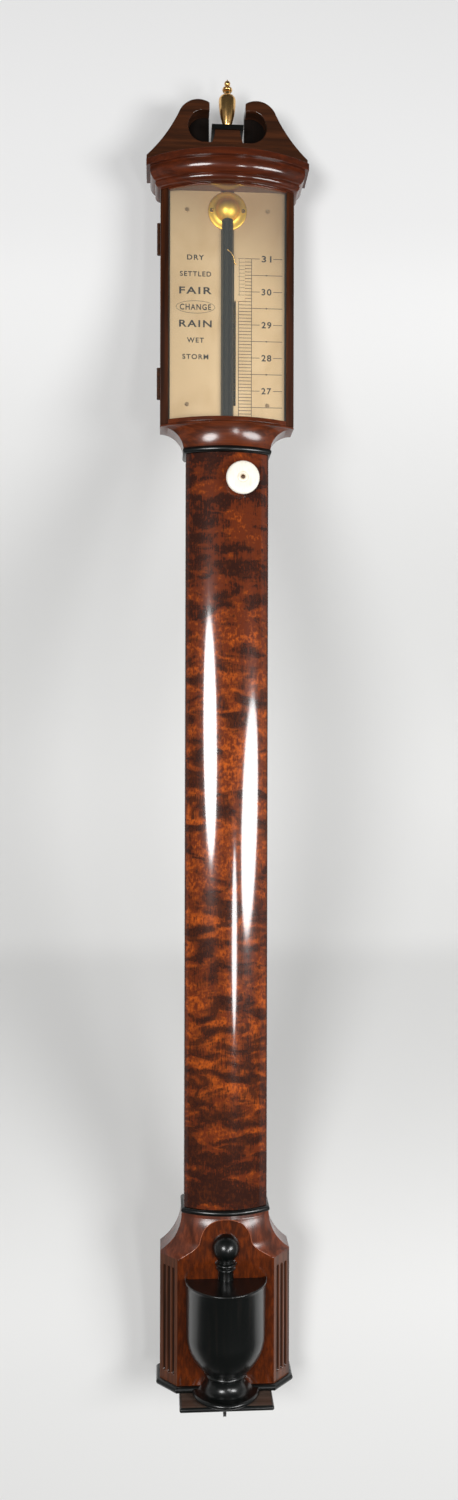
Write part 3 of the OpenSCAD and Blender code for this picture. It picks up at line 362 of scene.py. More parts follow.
@dataclass(frozen=True)
class FiguredVeneer(Finish):
    """Plum-pudding mahogany veneer: dark patches across an upright grain with orange lights."""

    light: Screen = (192, 90, 26)
    middle: Screen = (102, 43, 19)
    dark: Screen = (36, 19, 15)

    def mix(self, recipe: Recipe) -> Material:
        """Patches are long across the trunk, fibres are upright, and a fine mottle breaks both.

        The wood is darker near the ends of the trunk and, as painted shade, along its side edges;
        a fine ripple lies across the polish.

        Args:
            recipe: The empty material.

        Returns:
            The finished material.
        """
        fibre = recipe.noise((1000.0, 1000.0, 120.0), 3.0)
        mottle = recipe.noise((420.0, 420.0, 330.0), 4.0)
        bulk = recipe.noise((9.0, 9.0, 14.0), 1.0, lift=2.0)
        wave = recipe.noise((30.0, 30.0, 11.0), 1.0)
        ripple = recipe.noise((22.0, 22.0, 420.0), 1.0)
        patch = recipe.noise((44.0, 44.0, 92.0), 7.0, 0.6, 90.0)
        spot = recipe.noise((80.0, 80.0, 120.0), 3.0, 0.5, 110.0)
        pore = recipe.noise((3600.0, 3600.0, 320.0), 1.0).ramp(0.6, 0.74)
        height = recipe.axis("Z")
        ends = height.ramp(-0.36, -0.24).most((0.0 - height).ramp(0.66, 0.76))
        # painted shade along the trunk's two side edges, where the bow turns away from the light
        edge = abs(recipe.axis("X")).ramp(0.0294, 0.0314)
        glow = 0.35 * spot + 0.65 * mottle + 0.3 * fibre + 0.12 * bulk - 0.09 * ends
        shade = patch + 0.4 * (fibre - 0.5) + 0.4 * (mottle - 0.5) + 0.32 * (bulk - 0.5)
        shade = shade + 0.05 * ends
        wood = recipe.blend(glow.ramp(0.61, 0.88), self.middle, self.light)
        # the dark colour also takes the painted edge shade
        wood = recipe.blend((shade.ramp(0.43, 0.6) * 0.88).most(edge * 0.8), wood, self.dark)
        wood = recipe.blend(pore * 0.35, wood, self.dark)
        relief = recipe.bump(wave + 0.05 * pore + 0.04 * ripple, 0.2, 0.6)
        gloss = {"specular": 0.12, "coat": 1.0, "coat_rough": 0.08, "coat_ior": 1.6}
        return recipe.finish(wood, 0.22 + 0.12 * pore, normal=relief, **gloss)


@dataclass(frozen=True)
class Ebonised(Finish):
    """Black-stained and polished wood with a trace of grain."""

    black: Screen = (6, 9, 8)
    brown: Screen = (22, 18, 15)

    def mix(self, recipe: Recipe) -> Material:
        """A few brown streaks show through the black.

        Args:
            recipe: The empty material.

        Returns:
            The finished material.
        """
        streak = recipe.noise(Grain.UPRIGHT.stretch(300.0), 4.0, 0.4).ramp(0.5, 0.75)
        wood = recipe.blend(streak * 0.6, self.black, self.brown)
        return recipe.finish(wood, 0.36 + 0.08 * streak, specular=0.2, coat=0.8, coat_rough=0.22)


@dataclass(frozen=True)
class LacqueredBrass(Finish):
    """Brass under old lacquer, a little browner and duller in patches."""

    bright: Screen = (214, 172, 92)
    brown: Screen = (150, 104, 48)
    rough: float = 0.26

    def mix(self, recipe: Recipe) -> Material:
        """Brown patches are duller than the bright metal.

        Args:
            recipe: The empty material.

        Returns:
            The finished material.
        """
        patch = recipe.noise((170.0, 170.0, 170.0), 4.0, 0.5).ramp(0.42, 0.78)
        fleck = recipe.noise((1800.0, 1800.0, 1800.0), 2.0)
        metal = recipe.blend(patch * 0.7, self.bright, self.brown)
        return recipe.finish(metal, self.rough + 0.14 * patch + 0.06 * (fleck - 0.5), metal=1.0)


@dataclass(frozen=True)
class SilveredPlate(Finish):
    """Silvered brass under yellowed varnish, with fine upright scratches."""

    pale: Screen = (232, 202, 156)
    warm: Screen = (210, 176, 128)
    shadow: Screen = (142, 108, 72)

    def mix(self, recipe: Recipe) -> Material:
        """Clouds and upright scratches vary the colour; a painted shadow and reflection brown it
        towards the top and right.

        Args:
            recipe: The empty material.

        Returns:
            The finished material.
        """
        cloud = recipe.noise((36.0, 36.0, 20.0), 3.0, 0.4).ramp(0.35, 0.75)
        scratch = recipe.noise((2600.0, 2600.0, 60.0), 2.0)
        # painted shade: the cornice's shadow and a dark reflection, browner towards the top and
        # the right
        painted_top_shade = (recipe.axis("Z") + 0.6 * recipe.axis("X")).ramp(-0.05, 0.036)
        metal = recipe.blend(0.75 * cloud + 0.25 * scratch, self.pale, self.warm)
        metal = recipe.blend(painted_top_shade * 0.7, metal, self.shadow)
        return recipe.finish(metal, 0.42 + 0.1 * scratch, metal=0.25)


@dataclass(frozen=True)
class TubeGlass(Finish):
    """Old tube glass over mercury, dark and glossy."""

    dark: Screen = (5, 5, 5)
    pale: Screen = (34, 32, 28)
    # offset of the painted reflection stripe to the left of the tube's axis
    reflection_x: float = 0.8

    def mix(self, recipe: Recipe) -> Material:
        """A pale stripe, a painted reflection in the mercury of the bore, lies in the dark glass,
        with faint draw lines.

        Args:
            recipe: The empty material.

        Returns:
            The finished material.
        """
        line = recipe.noise((900.0, 900.0, 6.0), 2.0)
        # painted reflection: a pale stripe in the mercury of the bore, a little left of the middle
        bore = 1.0 - abs(recipe.axis("X") + self.reflection_x * MM).ramp(0.7 * MM, 1.5 * MM)
        glass = recipe.blend(bore * 0.8 + 0.2 * line, self.dark, self.pale)
        return recipe.finish(glass, 0.14 + 0.05 * line, specular=0.2, coat=0.12, coat_rough=0.03)


@dataclass(frozen=True)
class PaneGlass(Finish):
    """Clear glass of the door, seen by its gloss at a slant and a trace of its body."""

    body: Screen = (226, 232, 228)

    def mix(self, recipe: Recipe) -> Material:
        """The pane is clear face on, and shows more at a slant, with a faint ripple.

        Args:
            recipe: The empty material.

        Returns:
            The finished material.
        """
        slant = recipe.term("ShaderNodeLayerWeight", {}, {"Blend": 0.25}, "Fresnel")
        relief = recipe.bump(recipe.noise((30.0, 30.0, 12.0), 2.0), 0.05, 0.2)
        return recipe.finish(self.body, 0.03, alpha=(0.03 + 0.5 * slant).least(0.6), normal=relief)


@dataclass(frozen=True)
class Quicksilver(Finish):
    """Bright mercury with a skin in its tones."""

    bright: Screen = (206, 208, 212)
    grey: Screen = (150, 152, 156)

    def mix(self, recipe: Recipe) -> Material:
        """Soft clouds of a thin skin lie on the metal.

        Args:
            recipe: The empty material.

        Returns:
            The finished material.
        """
        cloud = recipe.noise((240.0, 240.0, 90.0), 2.0).ramp(0.4, 0.7)
        metal = recipe.blend(cloud, self.bright, self.grey)
        return recipe.finish(metal, 0.08 + 0.1 * cloud, metal=1.0)


@dataclass(frozen=True)
class TurnedIvory(Finish):
    """Cream turned bone with faint lines, stained round its middle and along one turned ring."""

    cream: Screen = (254, 249, 236)
    line: Screen = (236, 224, 198)
    stain: Screen = (206, 176, 132)
    middle: Pair = (11.0, -198.5)
    ring_r: float = 3.9

    def mix(self, recipe: Recipe) -> Material:
        """Thin wavy lines cross the cream; the stain follows the distance from the knob's axis.

        Args:
            recipe: The empty material.

        Returns:
            The finished material.
        """
        wave = recipe.noise((900.0, 900.0, 120.0), 3.0, 0.6).ramp(0.52, 0.74)
        cloud = recipe.noise((120.0, 120.0, 120.0), 2.0).ramp(0.4, 0.8)
        across = recipe.axis("X") - self.middle[0] * MM
        along = recipe.axis("Z") - self.middle[1] * MM
        reach = (across * across + along * along) ** 0.5
        ring = 1.0 - abs(reach - self.ring_r * MM).ramp(0.1 * MM, 0.7 * MM)
        core = 1.0 - reach.ramp(1.9 * MM, 3.1 * MM)
        bone = recipe.blend(0.5 * wave + 0.3 * cloud, self.cream, self.line)
        bone = recipe.blend((0.55 * core + 0.4 * ring).least(1.0), bone, self.stain)
        return recipe.finish(bone, 0.3 + 0.08 * wave, coat=0.3, coat_rough=0.1)


@dataclass(frozen=True)
class PlainMatter(Finish):
    """Leather, boxwood, steel, board or ink: two tones in soft noise."""

    light: Screen = (200, 160, 100)
    dark: Screen = (150, 110, 60)
    rough: float = 0.6
    metal: float = 0.0
    specular: float = 0.5
    size: Point = (400.0, 400.0, 400.0)

    def mix(self, recipe: Recipe) -> Material:
        """The two tones follow one noise, and so does the roughness.

        Args:
            recipe: The empty material.

        Returns:
            The finished material.
        """
        tone = recipe.noise(self.size, 4.0, 0.4)
        colour = recipe.blend(tone.ramp(0.32, 0.7), self.light, self.dark)
        rough = self.rough + 0.2 * (tone - 0.5)
        return recipe.finish(colour, rough, metal=self.metal, specular=self.specular)


# Finishes of the barometer
MAHOGANY = PolishedMahogany("mahogany", "mahogany", grain=Grain.UPRIGHT, coat=0.5)
CROSS_MAHOGANY = PolishedMahogany(
    "mahogany_across", "mahogany", (120, 54, 22), (84, 36, 15), (36, 17, 9), haze=0.16
)
BROWN_MAHOGANY = PolishedMahogany(
    "mahogany_brown", "mahogany", (86, 46, 24), (56, 30, 16), (28, 16, 10)
)
DEEP_MAHOGANY = PolishedMahogany(
    "mahogany_deep", "mahogany", (108, 46, 19), (74, 30, 13), (34, 16, 9), figure=0.5
)
# greyish mahogany of the shelf top: a painted grey sheen of reflected light
SHEEN_MAHOGANY = PolishedMahogany(
    "mahogany_grey_sheen", "mahogany", (124, 104, 92), (94, 76, 66), (54, 40, 32)
)
# pale mahogany of the arch's edge: a painted highlight along the arris
ARRIS_HIGHLIGHT = PolishedMahogany(
    "arris_painted_highlight", "mahogany", (186, 112, 80), (140, 76, 50), (84, 40, 24), Grain.UPRIGHT
)
PANEL_MAHOGANY = PolishedMahogany(
    "panel_mahogany", "panel_mahogany", (116, 48, 8), (66, 25, 5), (38, 15, 5), Grain.MOTTLED, 0.55
)
# the hollows' lighter, pinker tones are partly a painted sheen of reflected light
SHOULDER = ShoulderMahogany(
    "shoulder_mahogany",
    "panel_mahogany",
    (126, 62, 38),
    (90, 44, 28),
    (48, 24, 16),
    Grain.MOTTLED,
    haze=0.22,
)
FLUTED = FlutedMahogany(
    "fluted_mahogany", "mahogany", (116, 66, 42), (80, 46, 30), (28, 16, 10), Grain.UPRIGHT
)
VENEER = FiguredVeneer("figured_mahogany", "figured_mahogany")
EBONY = Ebonised("ebonised_wood", "ebonised_wood")
DARK_BOARD = PlainMatter(
    "dark_board", "dark_board", (20, 12, 8), (11, 7, 5), specular=0.1, size=(500.0, 500.0, 25.0)
)
RAW_BOARD = PlainMatter(
    "raw_board", "dark_board", (96, 66, 44), (62, 41, 27), 0.7, 0.0, 0.2, (420.0, 420.0, 16.0)
)
BRASS = LacqueredBrass("brass", "brass")
FINIAL_BRASS = LacqueredBrass("finial_brass", "brass", (236, 190, 122), (176, 122, 70), 0.24)
SATIN_BRASS = LacqueredBrass("satin_brass", "brass", (255, 210, 88), (242, 174, 66), 0.44)
# dark brown brass of the hinges and hanger: dull old brass darkened by painted shade
SHADED_OLD_BRASS = PlainMatter("old_brass_painted_shade", "brass", (88, 50, 27), (58, 33, 18), 0.5, 0.3, 0.3)
SILVER = SilveredPlate("silvered_brass", "silvered_brass")
SCREW_SILVER = PlainMatter(
    "screw_silver", "silvered_brass", (204, 174, 132), (128, 102, 74), 0.35, 0.6
)
TUBE_GLASS = TubeGlass("tube_glass", "tube_glass")
PANE = PaneGlass("door_glass", "door_glass")
MERCURY = Quicksilver("mercury", "mercury")
IVORY = TurnedIvory("knob_ivory", "knob_ivory")
BOXWOOD = PlainMatter("boxwood", "boxwood", rough=0.5, size=(900.0, 900.0, 60.0))
DARK_PEG = PlainMatter("dark_peg", "boxwood", (96, 60, 36), (58, 36, 24), 0.45)
LEATHER = PlainMatter("leather", "leather", (128, 88, 54), (92, 60, 36), 0.75)
STEEL = PlainMatter("steel", "steel", (150, 150, 152), (96, 94, 92), 0.36, 1.0)
INK = PlainMatter("engraving_wax", "", (34, 28, 24), (22, 18, 16))


class Body(Enum):
    """The bodies that pieces ride on."""

    CASE = "case"
    DOOR = "door"
    WORKS = "setting_works"
    VERNIER = "vernier"


class Facing(Enum):
    """Which way the axis of a turned piece points."""

    UP = "up"
    OUT = "out of the wall"


def heading(start: Array, end: Array) -> float:
    """Angle of the way from one point to another, in degrees."""
    return math.degrees(math.atan2(end[1] - start[1], end[0] - start[0]))


def arc(x: float, y: float, radius: float, start: float, end: float, steps: int) -> Array:
    """Points on a circle: the centre plus the radius times cosine and sine of even angles.

    Args:
        x: Centre along the first axis.
        y: Centre along the second axis.
        radius: Radius of the circle.
        start: First angle, in degrees.
        end: Last angle, in degrees.
        steps: Number of steps between the two.

    Returns:
        The points, one per row.
    """
    turn = np.radians(np.linspace(start, end, steps + 1))
    return np.column_stack([x + radius * np.cos(turn), y + radius * np.sin(turn)])


def path(*parts: Any) -> Array:
    """Joins points and runs of points into one line, one point per row."""
    return np.concatenate([np.atleast_2d(np.asarray(part, float)) for part in parts])


def spread(x: Any, depth: Any, height: Any) -> Array:
    """Points from x, depth and height, after these are brought to one shape."""
    return np.stack(np.broadcast_arrays(x, -np.asarray(depth), height), axis=-1)


def walled(x: Array, depth: Array, height: Array) -> Array:
    """Levels of points that also run back to the wall at their two ends, one row per level."""
    wall = 0.0 * depth[:, :1]
    return spread(np.hstack([x[:, :1], x, x[:, -1:]]), np.hstack([wall, depth, wall]), height)


def turned(
    profile: Array,
    at: Point,
    facing: Facing = Facing.UP,
    steps: int = 72,
    sweep: Pair = (-180.0, 180.0),
) -> Array:
    """A profile carried round an axis: radius times sine goes across, radius times cosine out.

    Args:
        profile: Radius and length of each point of the profile.
        at: Place of the axis: x, depth and height.
        facing: Which way the axis points.
        steps: Number of steps round the axis.
        sweep: First and last angle, in degrees, where 0 is the front, or the top if it faces out.

    Returns:
        The grid of points, one row per angle.
    """
    angle = np.radians(np.linspace(*sweep, steps + 1))[:, None]
    radius, length = profile.T
    across, out = radius * np.sin(angle), radius * np.cos(angle)
    x, depth, height = at
    if facing is Facing.UP:
        return spread(x + across, depth + out, height + length)
    return spread(x + across, depth + length, height + out)


@dataclass(frozen=True)
class Bow:
    """A bowed plan, by its half width, its radius and the depth of its middle."""

    half: float
    radius: float
    front: float

    def depth(self, x: Array, out: Any = 0.0) -> Array:
        """Depth of the bow: front - radius + sqrt((radius + out) squared - x squared)."""
        return self.front - self.radius + np.sqrt(np.square(self.radius + out) - np.square(x))

    def levels(self, height: Any, out: Any = 0.0, steps: int = 64) -> Array:
        """Levels of a bow-fronted block: each runs out from the wall, round the bow and back.

        Args:
            height: Height of each level.
            out: How far each level stands out, at the sides and at the bow.
            steps: Number of steps along the bow.

        Returns:
            The grid of points, one row per level.
        """
        height, out = (size[:, None] for size in np.broadcast_arrays(height, out))
        x = (self.half + out) * np.linspace(-1.0, 1.0, steps + 1)
        return walled(x, self.depth(x, out), height)


# Bowed plans that several pieces share
HEAD = Bow(51.4, 95.0, 37.0)
TRUNK = Bow(31.7, 61.0, 33.7)
HOLLOW = Bow(25.7, 61.0, 28.0)
NECK_HOLLOW = Bow(24.0, 61.0, 28.0)


class Mould:
    """A mesh while it is put together from sheets and flat faces."""

    def __init__(self) -> None:
        """Starts with no points."""
        self.points: list[Array] = []
        self.faces: list[list[int]] = []
        self.count = 0

    def _keep(self, points: Array, faces: list[list[int]]) -> "Mould":
        """Keeps points and the faces on them.

        Args:
            points: The points, one per row.
            faces: Numbers of the corners of each face.

        Returns:
            This mould.
        """
        self.points.append(points)
        self.faces += faces
        self.count += len(points)
        return self

    def sheet(self, grid: Array, wrap: bool = False) -> "Mould":
        """Adds a sheet of four-sided faces.

        Args:
            grid: Points in rows and columns.
            wrap: Whether the last row joins the first.

        Returns:
            This mould.
        """
        rows, columns = grid.shape[:2]
        index = np.arange(rows * columns).reshape(rows, columns) + self.count
        index = np.vstack([index, index[:1]]) if wrap else index
        quads = np.stack([index[:-1, :-1], index[:-1, 1:], index[1:, 1:], index[1:, :-1]], axis=-1)
        return self._keep(grid.reshape(-1, 3), quads.reshape(-1, 4).tolist())

    def lid(self, ring: Array) -> "Mould":
        """Adds one flat face on a ring of points."""
        return self._keep(ring, [list(range(self.count, self.count + len(ring)))])

    def rod(self, rings: Array) -> "Mould":
        """Adds rows that each end where they start, with a flat face on the first and the last."""
        return self.sheet(rings).lid(rings[0, :-1]).lid(rings[-1, :-1])

    def hoop(self, rows: Array) -> "Mould":
        """Adds rows of which the last joins the first, with a flat face at their two ends."""
        return self.sheet(rows, wrap=True).lid(rows[:, 0]).lid(rows[:, -1])

    def block(self, levels: Array) -> "Mould":
        """Adds a block from stacked outlines that are closed along the wall, with its ends."""
        back = np.concatenate([levels[:, 0], levels[::-1, -1]])
        return self.sheet(levels).lid(levels[0]).lid(levels[-1]).lid(back)

    def shell(self, outer: Array, inner: Array) -> "Mould":
        """Adds a wall between stacked outlines and the inner ones, open at the back."""
        return self.hoop(np.concatenate([outer, inner[::-1]]))

    def prisms(self, outlines: Array, back: float, front: float) -> "Mould":
        """Adds upright outlines carried from one depth to another.

        Args:
            outlines: Points of x and height, for each outline in turn.
            back: Depth of the back faces.
            front: Depth of the front faces.

        Returns:
            This mould.
        """
        count, sides = outlines.shape[:2]
        points = spread(outlines[:, None, :, 0], [[back], [front]], outlines[:, None, :, 1])
        index = np.arange(count * 2 * sides).reshape(count, 2, sides) + self.count
        after = np.roll(index, -1, axis=2)
        quads = np.stack([index[:, 0], after[:, 0], after[:, 1], index[:, 1]], axis=-1)
        faces = quads.reshape(-1, 4).tolist() + index.reshape(-1, sides).tolist()
        return self._keep(points.reshape(-1, 3), faces)

    def bars(self, boxes: Array, back: float, front: float) -> "Mould":
        """Adds upright boxes, given by left, right, foot and top, from one depth to another."""
        return self.prisms(boxes[:, [[0, 2], [1, 2], [1, 3], [0, 3]]], back, front)

    def wire(self, line: Array, radius: float) -> "Mould":
        """Adds a round wire: circles square to a line of points.

        Args:
            line: Points along the middle of the wire.
            radius: Radius of the wire.

        Returns:
            This mould.
        """
        along = np.gradient(line, axis=0)
        side = np.cross(along, [0.0, 0.0, 1.0])
        up = np.cross(side, along)
        side, up = (way / np.linalg.norm(way, axis=1, keepdims=True) for way in (side, up))
        angle = np.linspace(0.0, 2 * np.pi, 13)[None, :, None]
        ring = np.cos(angle) * side[:, None] + np.sin(angle) * up[:, None]
        return self.rod(line[:, None] + radius * ring)

    def word(
        self, letters: str, size: Pair, at: Pair, back: float, front: float
    ) -> "Mould":
        """Adds a word in plain capitals or numerals.

        Args:
            letters: The word.
            size: Its width and height.
            at: Place of its middle: x and height.
            back: Depth of the letters' back.
            front: Depth of their front.

        Returns:
            This mould.
        """
        curve = bpy.data.curves.new("letters", "FONT")
        curve.body, curve.extrude, curve.offset, curve.space_character = letters, 0.5, 0.022, 1.22
        holder = bpy.data.objects.new("letters", curve)
        bpy.context.scene.collection.objects.link(holder)
        graph = bpy.context.evaluated_depsgraph_get()
        shape = bpy.data.meshes.new_from_object(holder.evaluated_get(graph))
        points = np.empty(len(shape.vertices) * 3)
        shape.vertices.foreach_get("co", points)
        points = points.reshape(-1, 3)
        faces = [[self.count + corner for corner in face.vertices] for face in shape.polygons]
        low, high = points.min(axis=0), points.max(axis=0)
        flat = np.array(at) + ((points - (low + high) / 2) / (high - low))[:, :2] * size
        depth = np.where(points[:, 2] > 0, front, back)
        bpy.data.objects.remove(holder)
        bpy.data.curves.remove(curve)
        bpy.data.meshes.remove(shape)
        return self._keep(spread(flat[:, 0], depth, flat[:, 1]), faces)

    def cast(
        self,
        name: str,
        finish: Finish,
        replaces: Sequence[str] = (),
        sharp: float = 32.0,
        soften: float = 0.0,
        body: Body = Body.CASE,
    ) -> None:
        """Makes the piece, with its doubles merged and its faces turned outwards.

        Args:
            name: Name of the piece.
            finish: Its finish.
            replaces: The model's nodes that it stands for.
            sharp: Angle above which an edge stays sharp, in degrees.
            soften: Width of the rounding of sharp edges.
            body: The body that it rides on.
        """
        mesh = bpy.data.meshes.new(name)
        mesh.from_pydata(np.concatenate(self.points) * MM, [], self.faces)
        work = bmesh.new()
        work.from_mesh(mesh)
        bmesh.ops.remove_doubles(work, verts=work.verts, dist=2e-6)
        bmesh.ops.recalc_face_normals(work, faces=work.faces)
        work.to_mesh(mesh)
        work.free()
        mesh.shade_smooth()
        mesh.set_sharp_from_angle(angle=math.radians(sharp))
        mesh.materials.append(finish.material())
        piece = bpy.data.objects.new(name, mesh)
        bpy.context.scene.collection.objects.link(piece)
        if soften > 0:
            edge = piece.modifiers.new("softened_edges", "BEVEL")
            edge.width = soften * MM
            edge.segments = 2
            edge.limit_method = "ANGLE"
            edge.angle_limit = math.radians(sharp)
            edge.harden_normals = True
        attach(piece, body.value)
        if replaces:
            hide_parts(*replaces)
        LOG.info("%s: %d faces", name, len(mesh.polygons))


@dataclass
class Pediment:
    """Swan-neck boards, the block between the scrolls and the turned finial."""

    foot: float = 45.5
    back: float = 8.0
    front: float = 20.0
    scroll: Pair = (22.3, 80.5)
    scroll_r: float = 16.2
    hollow_r: float = 115.0
    tip: Pair = (62.2, 52.5)
    gap_half: float = 13.8
    gap_floor: float = 64.0
    fret_x: float = 18.0
    fret_r: float = 12.2
    cap_foot: float = 73.5
    pedestal_half: float = 9.7
    pedestal_spread: float = 2.2
    finial_foot: float = 76.9
    finial_depth: float = 14.0

    def swan_neck(self) -> Array:
        """Outline of the right half: fret, scroll, hollow neck, tip and foot.

        The hollow is the circle that touches the scroll from outside and passes through the tip.
        The fret is a circle under the scroll that is open towards the gap.

        Returns:
            Points of x and height, from the foot of the fret to the foot of the tip.
        """
        scroll, tip = np.array(self.scroll), np.array(self.tip)
        reach = self.scroll_r + self.hollow_r
        span = np.linalg.norm(tip - scroll)
        along = (reach**2 - self.hollow_r**2 + span**2) / (2 * span)
        unit = (tip - scroll) / span
        up = math.sqrt(reach**2 - along**2)
        centre = scroll + along * unit + up * np.array([-unit[1], unit[0]])
        fret_z = self.gap_floor + self.fret_r
        fret_end = math.degrees(math.acos((self.gap_half - self.fret_x) / self.fret_r))
        nose = math.degrees(math.acos((self.gap_half - scroll[0]) / self.scroll_r))
        ends = heading(centre, scroll) % 360, heading(centre, tip) % 360
        return path(
            (self.fret_x, self.gap_floor),
            arc(self.fret_x, fret_z, self.fret_r, -90.0, fret_end, 40),
            arc(*scroll, self.scroll_r, nose, heading(scroll, centre), 40),
            arc(*centre, self.hollow_r, *ends, 40),
            (tip[0], self.foot),
        )

    def boards(self) -> None:
        """Casts the fretted front board: the outline and its mirror image, given a thickness."""
        half = self.swan_neck()
        x, height = path(half, half[::-1] * (-1.0, 1.0), half[0]).T
        rows = spread(x, [[self.back], [self.front]], height)
        Mould().rod(rows).cast("swan_neck_front", BROWN_MAHOGANY, ["pediment_front"], 24.0, 0.7)

    def pedestal(self) -> None:
        """Casts the block under the finial, whose sides spread with the square of the fall."""
        share = np.linspace(0.0, 1.0, 17)[:, None]
        half = self.pedestal_half + self.pedestal_spread * (1.0 - share) ** 2
        height = self.gap_floor + (self.cap_foot - self.gap_floor) * share
        levels = spread(half * [-1.0, -1.0, 1.0, 1.0], [0.0, self.front, self.front, 0.0], height)
        Mould().block(levels).cast("finial_pedestal", BROWN_MAHOGANY, ["finial_plinth"], 30.0, 0.3)

    def finial(self) -> None:
        """Casts the brass finial: vase, waist, collar, ball and point turned on one axis."""
        profile = path(
            [(0.0, 0.0), (2.6, 0.0), (2.6, 0.8), (2.0, 1.2)],
            arc(6.6 - 57.2, 22.0, 57.2, -22.6, 0.0, 20)[2:],
            arc(6.6 - 4.0, 22.0, 4.0, 0.0, 84.0, 14)[1:],
            [(2.1, 26.4), (1.9, 27.6), (2.2, 28.9)],
            arc(2.3, 30.6, 1.6, -70.0, 70.0, 16),
            [(1.5, 32.4), (1.3, 33.4)],
            arc(0.0, 35.3, 2.3, -52.0, 78.0, 18),
            [(0.5, 37.8), (0.4, 38.4), (0.0, 38.5)],
        )
        grid = turned(profile, (0.0, self.finial_depth, self.finial_foot))
        Mould().sheet(grid).cast("brass_finial", FINIAL_BRASS, ["finial"])

    def build(self) -> None:
        """Casts all of it."""
        self.boards()
        self.pedestal()
        self.finial()


@dataclass
class HeadMouldings:
    """Bowed cornice over the head, coved neck below it and the black beads of the trunk."""

    cornice_foot: float = 25.0
    neck_foot: float = -172.7
    neck_top: float = -155.2
    neck_sink: float = 1.2
    neck_lap: float = 0.5
    cove_h: float = 16.3
    bead_p: float = 2.2
    beads: tuple[tuple[str, float, float], ...] = (
        ("upper_bead", -177.7, 5.0),
        ("lower_bead", -756.5, 4.5),
    )

    def cornice(self) -> None:
        """Casts the cornice: a small quarter round, a large one and a fillet."""
        outline = path(
            (0.0, 0.0),
            arc(0.0, 4.5, 4.1, -90.0, 0.0, 12),
            (4.1, 4.5),
            arc(-1.0, 13.0, 9.0, -62.0, 8.0, 20),
            [(7.9, 15.4), (10.8, 15.4), (10.8, 20.5)],
        )
        levels = HEAD.levels(self.cornice_foot + outline[:, 1], outline[:, 0])
        Mould().block(levels).cast("bowed_cornice", DEEP_MAHOGANY, ["cornice"], 28.0, 0.4)

    def neck(self) -> None:
        """Casts the coved neck: its sides follow a circle, and its front sinks along a parabola.

        Each level blends the bow of the head into the bow of the trunk.
        """
        foot_half = TRUNK.half + self.bead_p - self.neck_lap
        width = HEAD.half - foot_half
        radius = (self.cove_h**2 + width**2) / (2 * self.cove_h)
        turn = math.asin(min(width / radius, 1.0)) * np.linspace(1.0, 0.0, 29)
        inward = np.append(radius * np.sin(turn), 0.0)
        height = self.neck_foot + self.cove_h - radius * (1 - np.cos(turn))
        height = np.append(height, self.neck_top)
        rise = np.minimum((height - self.neck_foot) / self.cove_h, 1.0)
        half, share = (HEAD.half - inward)[:, None], (1.0 - rise**2)[:, None]
        across = np.linspace(-1.0, 1.0, 65)
        trunk = TRUNK.depth(across * foot_half) - self.neck_sink
        depth = (1 - share) * HEAD.depth(across * HEAD.half) + share * trunk
        outer = walled(across * half, depth, height[:, None])
        mould = Mould().shell(outer, NECK_HOLLOW.levels((self.neck_foot, self.neck_top)))
        mould.cast("coved_neck", CROSS_MAHOGANY, ["head_base_moulding"], 28.0, 0.3)

    def bead(self, name: str, foot: float, height: float) -> None:
        """Casts one black half-round bead round the trunk.

        Args:
            name: Name of the node that it stands for.
            foot: Height of its foot.
            height: Its own height.
        """
        radius = height / 2
        out, level = arc(self.bead_p - radius, foot + radius, radius, -90.0, 90.0, 18).T
        mould = Mould().shell(TRUNK.levels(level, out), HOLLOW.levels((foot, foot + height)))
        mould.cast(f"black_{name}", EBONY, [name], 50.0)

    def build(self) -> None:
        """Casts all of them."""
        self.cornice()
        self.neck()
        for bead in self.beads:
            self.bead(*bead)


@dataclass
class Trunk:
    """Long bow-fronted trunk in figured veneer."""

    foot: float = -752.0
    top: float = -177.7

    def build(self) -> None:
        """Casts the trunk as a wall between its bowed outside and a hollow inside."""
        heights = np.linspace(self.foot, self.top, 3)
        mould = Mould().shell(TRUNK.levels(heights, steps=128), HOLLOW.levels(heights, steps=128))
        mould.cast("veneered_trunk", VENEER, ["trunk_front"], 30.0, 0.5)


